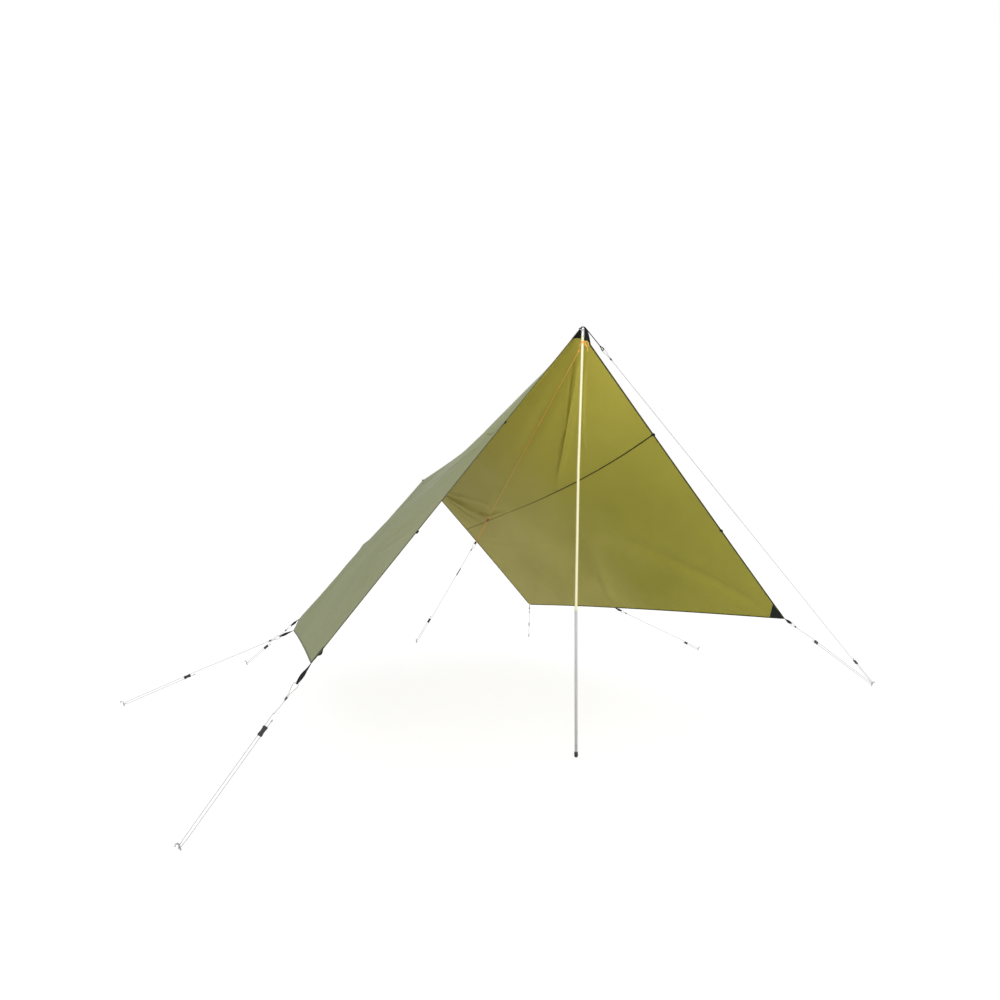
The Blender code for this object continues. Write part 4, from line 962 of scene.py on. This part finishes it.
def stitched(name, rows, seed):
    """Plain mesh of the stitches along rows of points."""
    points, edges = [], []
    for row in rows:
        edges += [(len(points) + i, len(points) + i + 1) for i in range(len(row) - 1)]
        points += [tuple(point) for point in row]
    data = bpy.data.meshes.new(name + "_rows")
    data.from_pydata(points, edges, [])
    holder = placed(name + "_rows", data)
    sewing = holder.modifiers.new("stitching", "NODES")
    sewing.node_group = stitch_rows
    for label, value in (("Pitch", STITCH_PITCH), ("Stitch Length", STITCH_LENGTH), ("Thread", THREAD),
                         ("Seed", seed), ("Material", thread)):
        sewing[stitch_keys[label]] = value
    bpy.context.view_layer.update()
    mesh = bpy.data.meshes.new_from_object(holder.evaluated_get(bpy.context.evaluated_depsgraph_get()))
    mesh.name = name
    mesh.shade_smooth()
    bpy.data.objects.remove(holder, do_unlink=True)
    made = placed(name, mesh)
    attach(made, "tarp")


for seed, (name, (s, v)) in enumerate(HEMS.items()):
    point, normal, away = edge_frame(s, v)
    rows = [point - away * HEM_STITCH_IN + normal * z for z in (HEM_TOP, HEM_UNDER)]
    stitched("hem_stitches_" + name, rows, seed)
for seed, (side, hand) in enumerate(SIDES):
    rows = []
    for off in (-SEAM_STITCH_OFF, SEAM_STITCH_OFF):
        s_row = side * (seam_at(seam_rows) + off / half_width(seam_rows))
        for z in (WELT_TOP, TAPE_UNDER):
            rows.append(canopy(s_row, seam_rows) + canopy_normal(s_row, seam_rows) * z)
    stitched("seam_stitches_" + hand, rows, 10 + seed)


# Webbing loops: black nylon webbing, folded to a loop and bar tacked to the edge. The corners, the
# sides and one rear loop carry guylines; the others stand free.

black_webbing = woven_tape("black_webbing", (0.0075, 0.0080, 0.0085), pitch=0.0014)
LOOP_SOFT = 0.0004
LOOP_NARROW = {0.0: 0.42, 0.14: 0.32, 0.36: 0.80, 0.62: 1.0, 0.84: 0.80, 1.0: 0.48}
STRAP_NARROW = {0.0: 0.60, 0.10: 0.28, 0.82: 0.28, 0.92: 0.60, 1.0: 0.55}


def webbing_loop(name):
    """A loop of the frame with its webbing drawn in to its real width and its edges softened."""
    node = "guy_loop_" + name
    centre, along, across = line_of(name)
    data = nodes[node].data.copy()
    built = bmesh.new()
    built.from_mesh(data)
    bmesh.ops.remove_doubles(built, verts=built.verts, dist=0.00001)
    gone = [(vertex.co - centre).dot(along) for vertex in built.verts]
    root, tip = min(gone), max(gone)
    stops = STRAP_NARROW if name == "peak" else LOOP_NARROW
    for vertex, at in zip(built.verts, gone):
        narrow = float(np.interp((at - root) / (tip - root), list(stops), list(stops.values())))
        off = (vertex.co - centre).dot(across)
        vertex.co += across * off * (narrow - 1)
    bmesh.ops.recalc_face_normals(built, faces=built.faces)
    built.to_mesh(data)
    built.free()
    data.name = "webbing_" + name
    data.materials.clear()
    data.materials.append(black_webbing)
    made = placed("webbing_" + name, data)
    soft = made.modifiers.new("soft_edge", "BEVEL")
    soft.width = LOOP_SOFT
    soft.segments = 2
    soft.limit_method = "ANGLE"
    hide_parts(node)
    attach(made, "tarp")


for name in ("front_right", "side_right", "rear_right", "front_left", "side_left", "rear_left", "peak"):
    webbing_loop(name)
dress("guy_loop_rear_middle", black_webbing)
dress("peak_plate", black_webbing)
TAB_BACK = 0.012
TAB_UNDER = 0.0030
for node in [name for name in nodes if name.startswith("tab_")]:
    data = nodes[node].data.copy()
    middle = sum((vertex.co for vertex in data.vertices), Vector()) / len(data.vertices)
    if middle.y > 0.1:
        dress(node, black_webbing)
        continue
    data.name = "sewn_" + node
    down_ridge = (Vector(RIDGE_END) - Vector(PEAK)).normalized()
    under = Vector(OUTWARD)
    under.x = abs(under.x) * (1 if middle.x > 0 else -1)
    for vertex in data.vertices:
        vertex.co += down_ridge * TAB_BACK - under * TAB_UNDER
    data.materials.clear()
    data.materials.append(black_webbing)
    tab = placed("sewn_" + node, data)
    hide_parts(node)
    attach(tab, "tarp")


# Peak eyelet: a plated brass eyelet, pressed into the webbing plate at the peak. The pole's spike
# stands in it.

def metal(name, colour, roughness, bare=1.0):
    """Metal with a fine grain drawn along its height and a few scuffs; bare is how little it is lacquered."""
    made, add = new_material(name)
    place = add("ShaderNodeTexCoord").outputs["Object"]
    drawn = add("ShaderNodeMapping", {"Vector": place, "Scale": (1.0, 1.0, 0.02)})
    lines = add("ShaderNodeTexNoise", {"Vector": drawn, "Scale": 600.0, "Detail": 4.0})
    scuffs = add("ShaderNodeTexNoise", {"Vector": place, "Scale": 22.0, "Detail": 8.0, "Roughness": 0.7})
    rough = add("ShaderNodeMapRange", {"Value": calc(add, "MULTIPLY", lines, scuffs), "From Max": 0.5,
                                       "To Min": roughness - 0.08, "To Max": roughness + 0.14})
    shade = blend(add, scuffs, toned(colour, 0.86), (*colour, 1))
    bump = add("ShaderNodeBump", {"Strength": 0.12, "Distance": 0.0002, "Height": lines})
    skin = add("ShaderNodeBsdfPrincipled", {"Base Color": shade, "Metallic": bare, "Roughness": rough,
                                            "Normal": bump})
    add("ShaderNodeOutputMaterial", {"Surface": skin})
    return made


dress("peak_eyelet", metal("plated_brass", (0.62, 0.58, 0.48), 0.28))


# Pole: three aluminium tubes that plug together on inner ferrules, with an elastic cord inside.
# The lowest tube is plain grey, the upper two are pale, and a grey band closes the top one's end. A
# turned spike goes through the eyelet, and a rubber foot stands on the ground.

pale_tube = metal("pale_tube", (0.72, 0.68, 0.43), 0.46, bare=0.2)
grey_tube = metal("grey_tube", (0.56, 0.56, 0.57), 0.38)
bare_ferrule = metal("bare_ferrule", (0.70, 0.70, 0.70), 0.30)
for node in ("pole_section_2", "pole_section_3"):
    dress(node, pale_tube)
dress("pole_section_1", grey_tube)
PLUG_LENGTH = 0.046
PLUG_OVER = 0.0005
PLUG_WALL = 0.0015
PLUG_SIDES = 32
tube = [vertex.co for vertex in nodes["pole_section_3"].data.vertices]
tube_top = max(co.z for co in tube)
tube_radius = max(math.hypot(co.x, co.y) for co in tube if co.z > tube_top - 0.3)
inner_radius, outer_radius = tube_radius - PLUG_WALL, tube_radius + PLUG_OVER
band_low, band_high = tube_top - PLUG_LENGTH, tube_top - 0.0002
outline = [(inner_radius, band_low), (outer_radius - 0.0003, band_low), (outer_radius, band_low + 0.0004),
           (outer_radius, tube_top - 0.0010), (outer_radius - 0.0006, band_high), (inner_radius, band_high)]
turns = [(math.cos(a), math.sin(a)) for a in (math.tau * i / PLUG_SIDES for i in range(PLUG_SIDES))]
data = bpy.data.meshes.new("pole_end_band")
data.from_pydata([(r * x, r * y, z) for x, y in turns for r, z in outline], [],
                 [(i * 6 + k, (i + 1) % PLUG_SIDES * 6 + k, (i + 1) % PLUG_SIDES * 6 + (k + 1) % 6,
                   i * 6 + (k + 1) % 6) for i in range(PLUG_SIDES) for k in range(6)])
finish_surface(data, 40)
data.materials.append(grey_tube)
band = placed("pole_end_band", data)
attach(band, "pole")
for node in ("pole_ferrule_1", "pole_ferrule_2", "pole_tip"):
    dress(node, bare_ferrule)
dress("shock_cord", grey_braid)


def moulded(name, colour, roughness):
    """Moulded plastic or rubber with a fine spark-eroded grain."""
    made, add = new_material(name)
    place = add("ShaderNodeTexCoord").outputs["Object"]
    grain = add("ShaderNodeTexNoise", {"Vector": place, "Scale": 2200.0, "Detail": 3.0})
    wear = add("ShaderNodeTexNoise", {"Vector": place, "Scale": 90.0, "Detail": 6.0})
    rough = add("ShaderNodeMapRange", {"Value": wear, "To Min": roughness - 0.10, "To Max": roughness + 0.12})
    bump = add("ShaderNodeBump", {"Strength": 0.15, "Distance": 0.0001, "Height": grain})
    shade = blend(add, wear, toned(colour, 0.8), toned(colour, 1.3))
    skin = add("ShaderNodeBsdfPrincipled", {"Base Color": shade, "Roughness": rough, "Normal": bump})
    add("ShaderNodeOutputMaterial", {"Surface": skin})
    return made


dress("pole_foot", moulded("black_rubber", (0.020, 0.020, 0.020), 0.65))


# Sliders: moulded plastic line runners with two bores, one for each strand. The guylines' are
# black and the inner cord's is rust red.

black_plastic = moulded("black_plastic", (0.014, 0.014, 0.015), 0.42)
for node in nodes:
    if node.startswith("slider_"):
        dress(node, black_plastic)
dress("slider_inner", moulded("rust_plastic", (0.30, 0.085, 0.025), 0.45))


# Stakes: bent steel wire, pointed below, with a hook that keeps the cord on. Each stands in the
# ground at its guyline's end, and the front right one holds the peak's line too.

steel_wire = metal("steel_wire", (0.50, 0.50, 0.50), 0.34)
for node in nodes:
    if node.startswith("stake_"):
        dress(node, steel_wire)
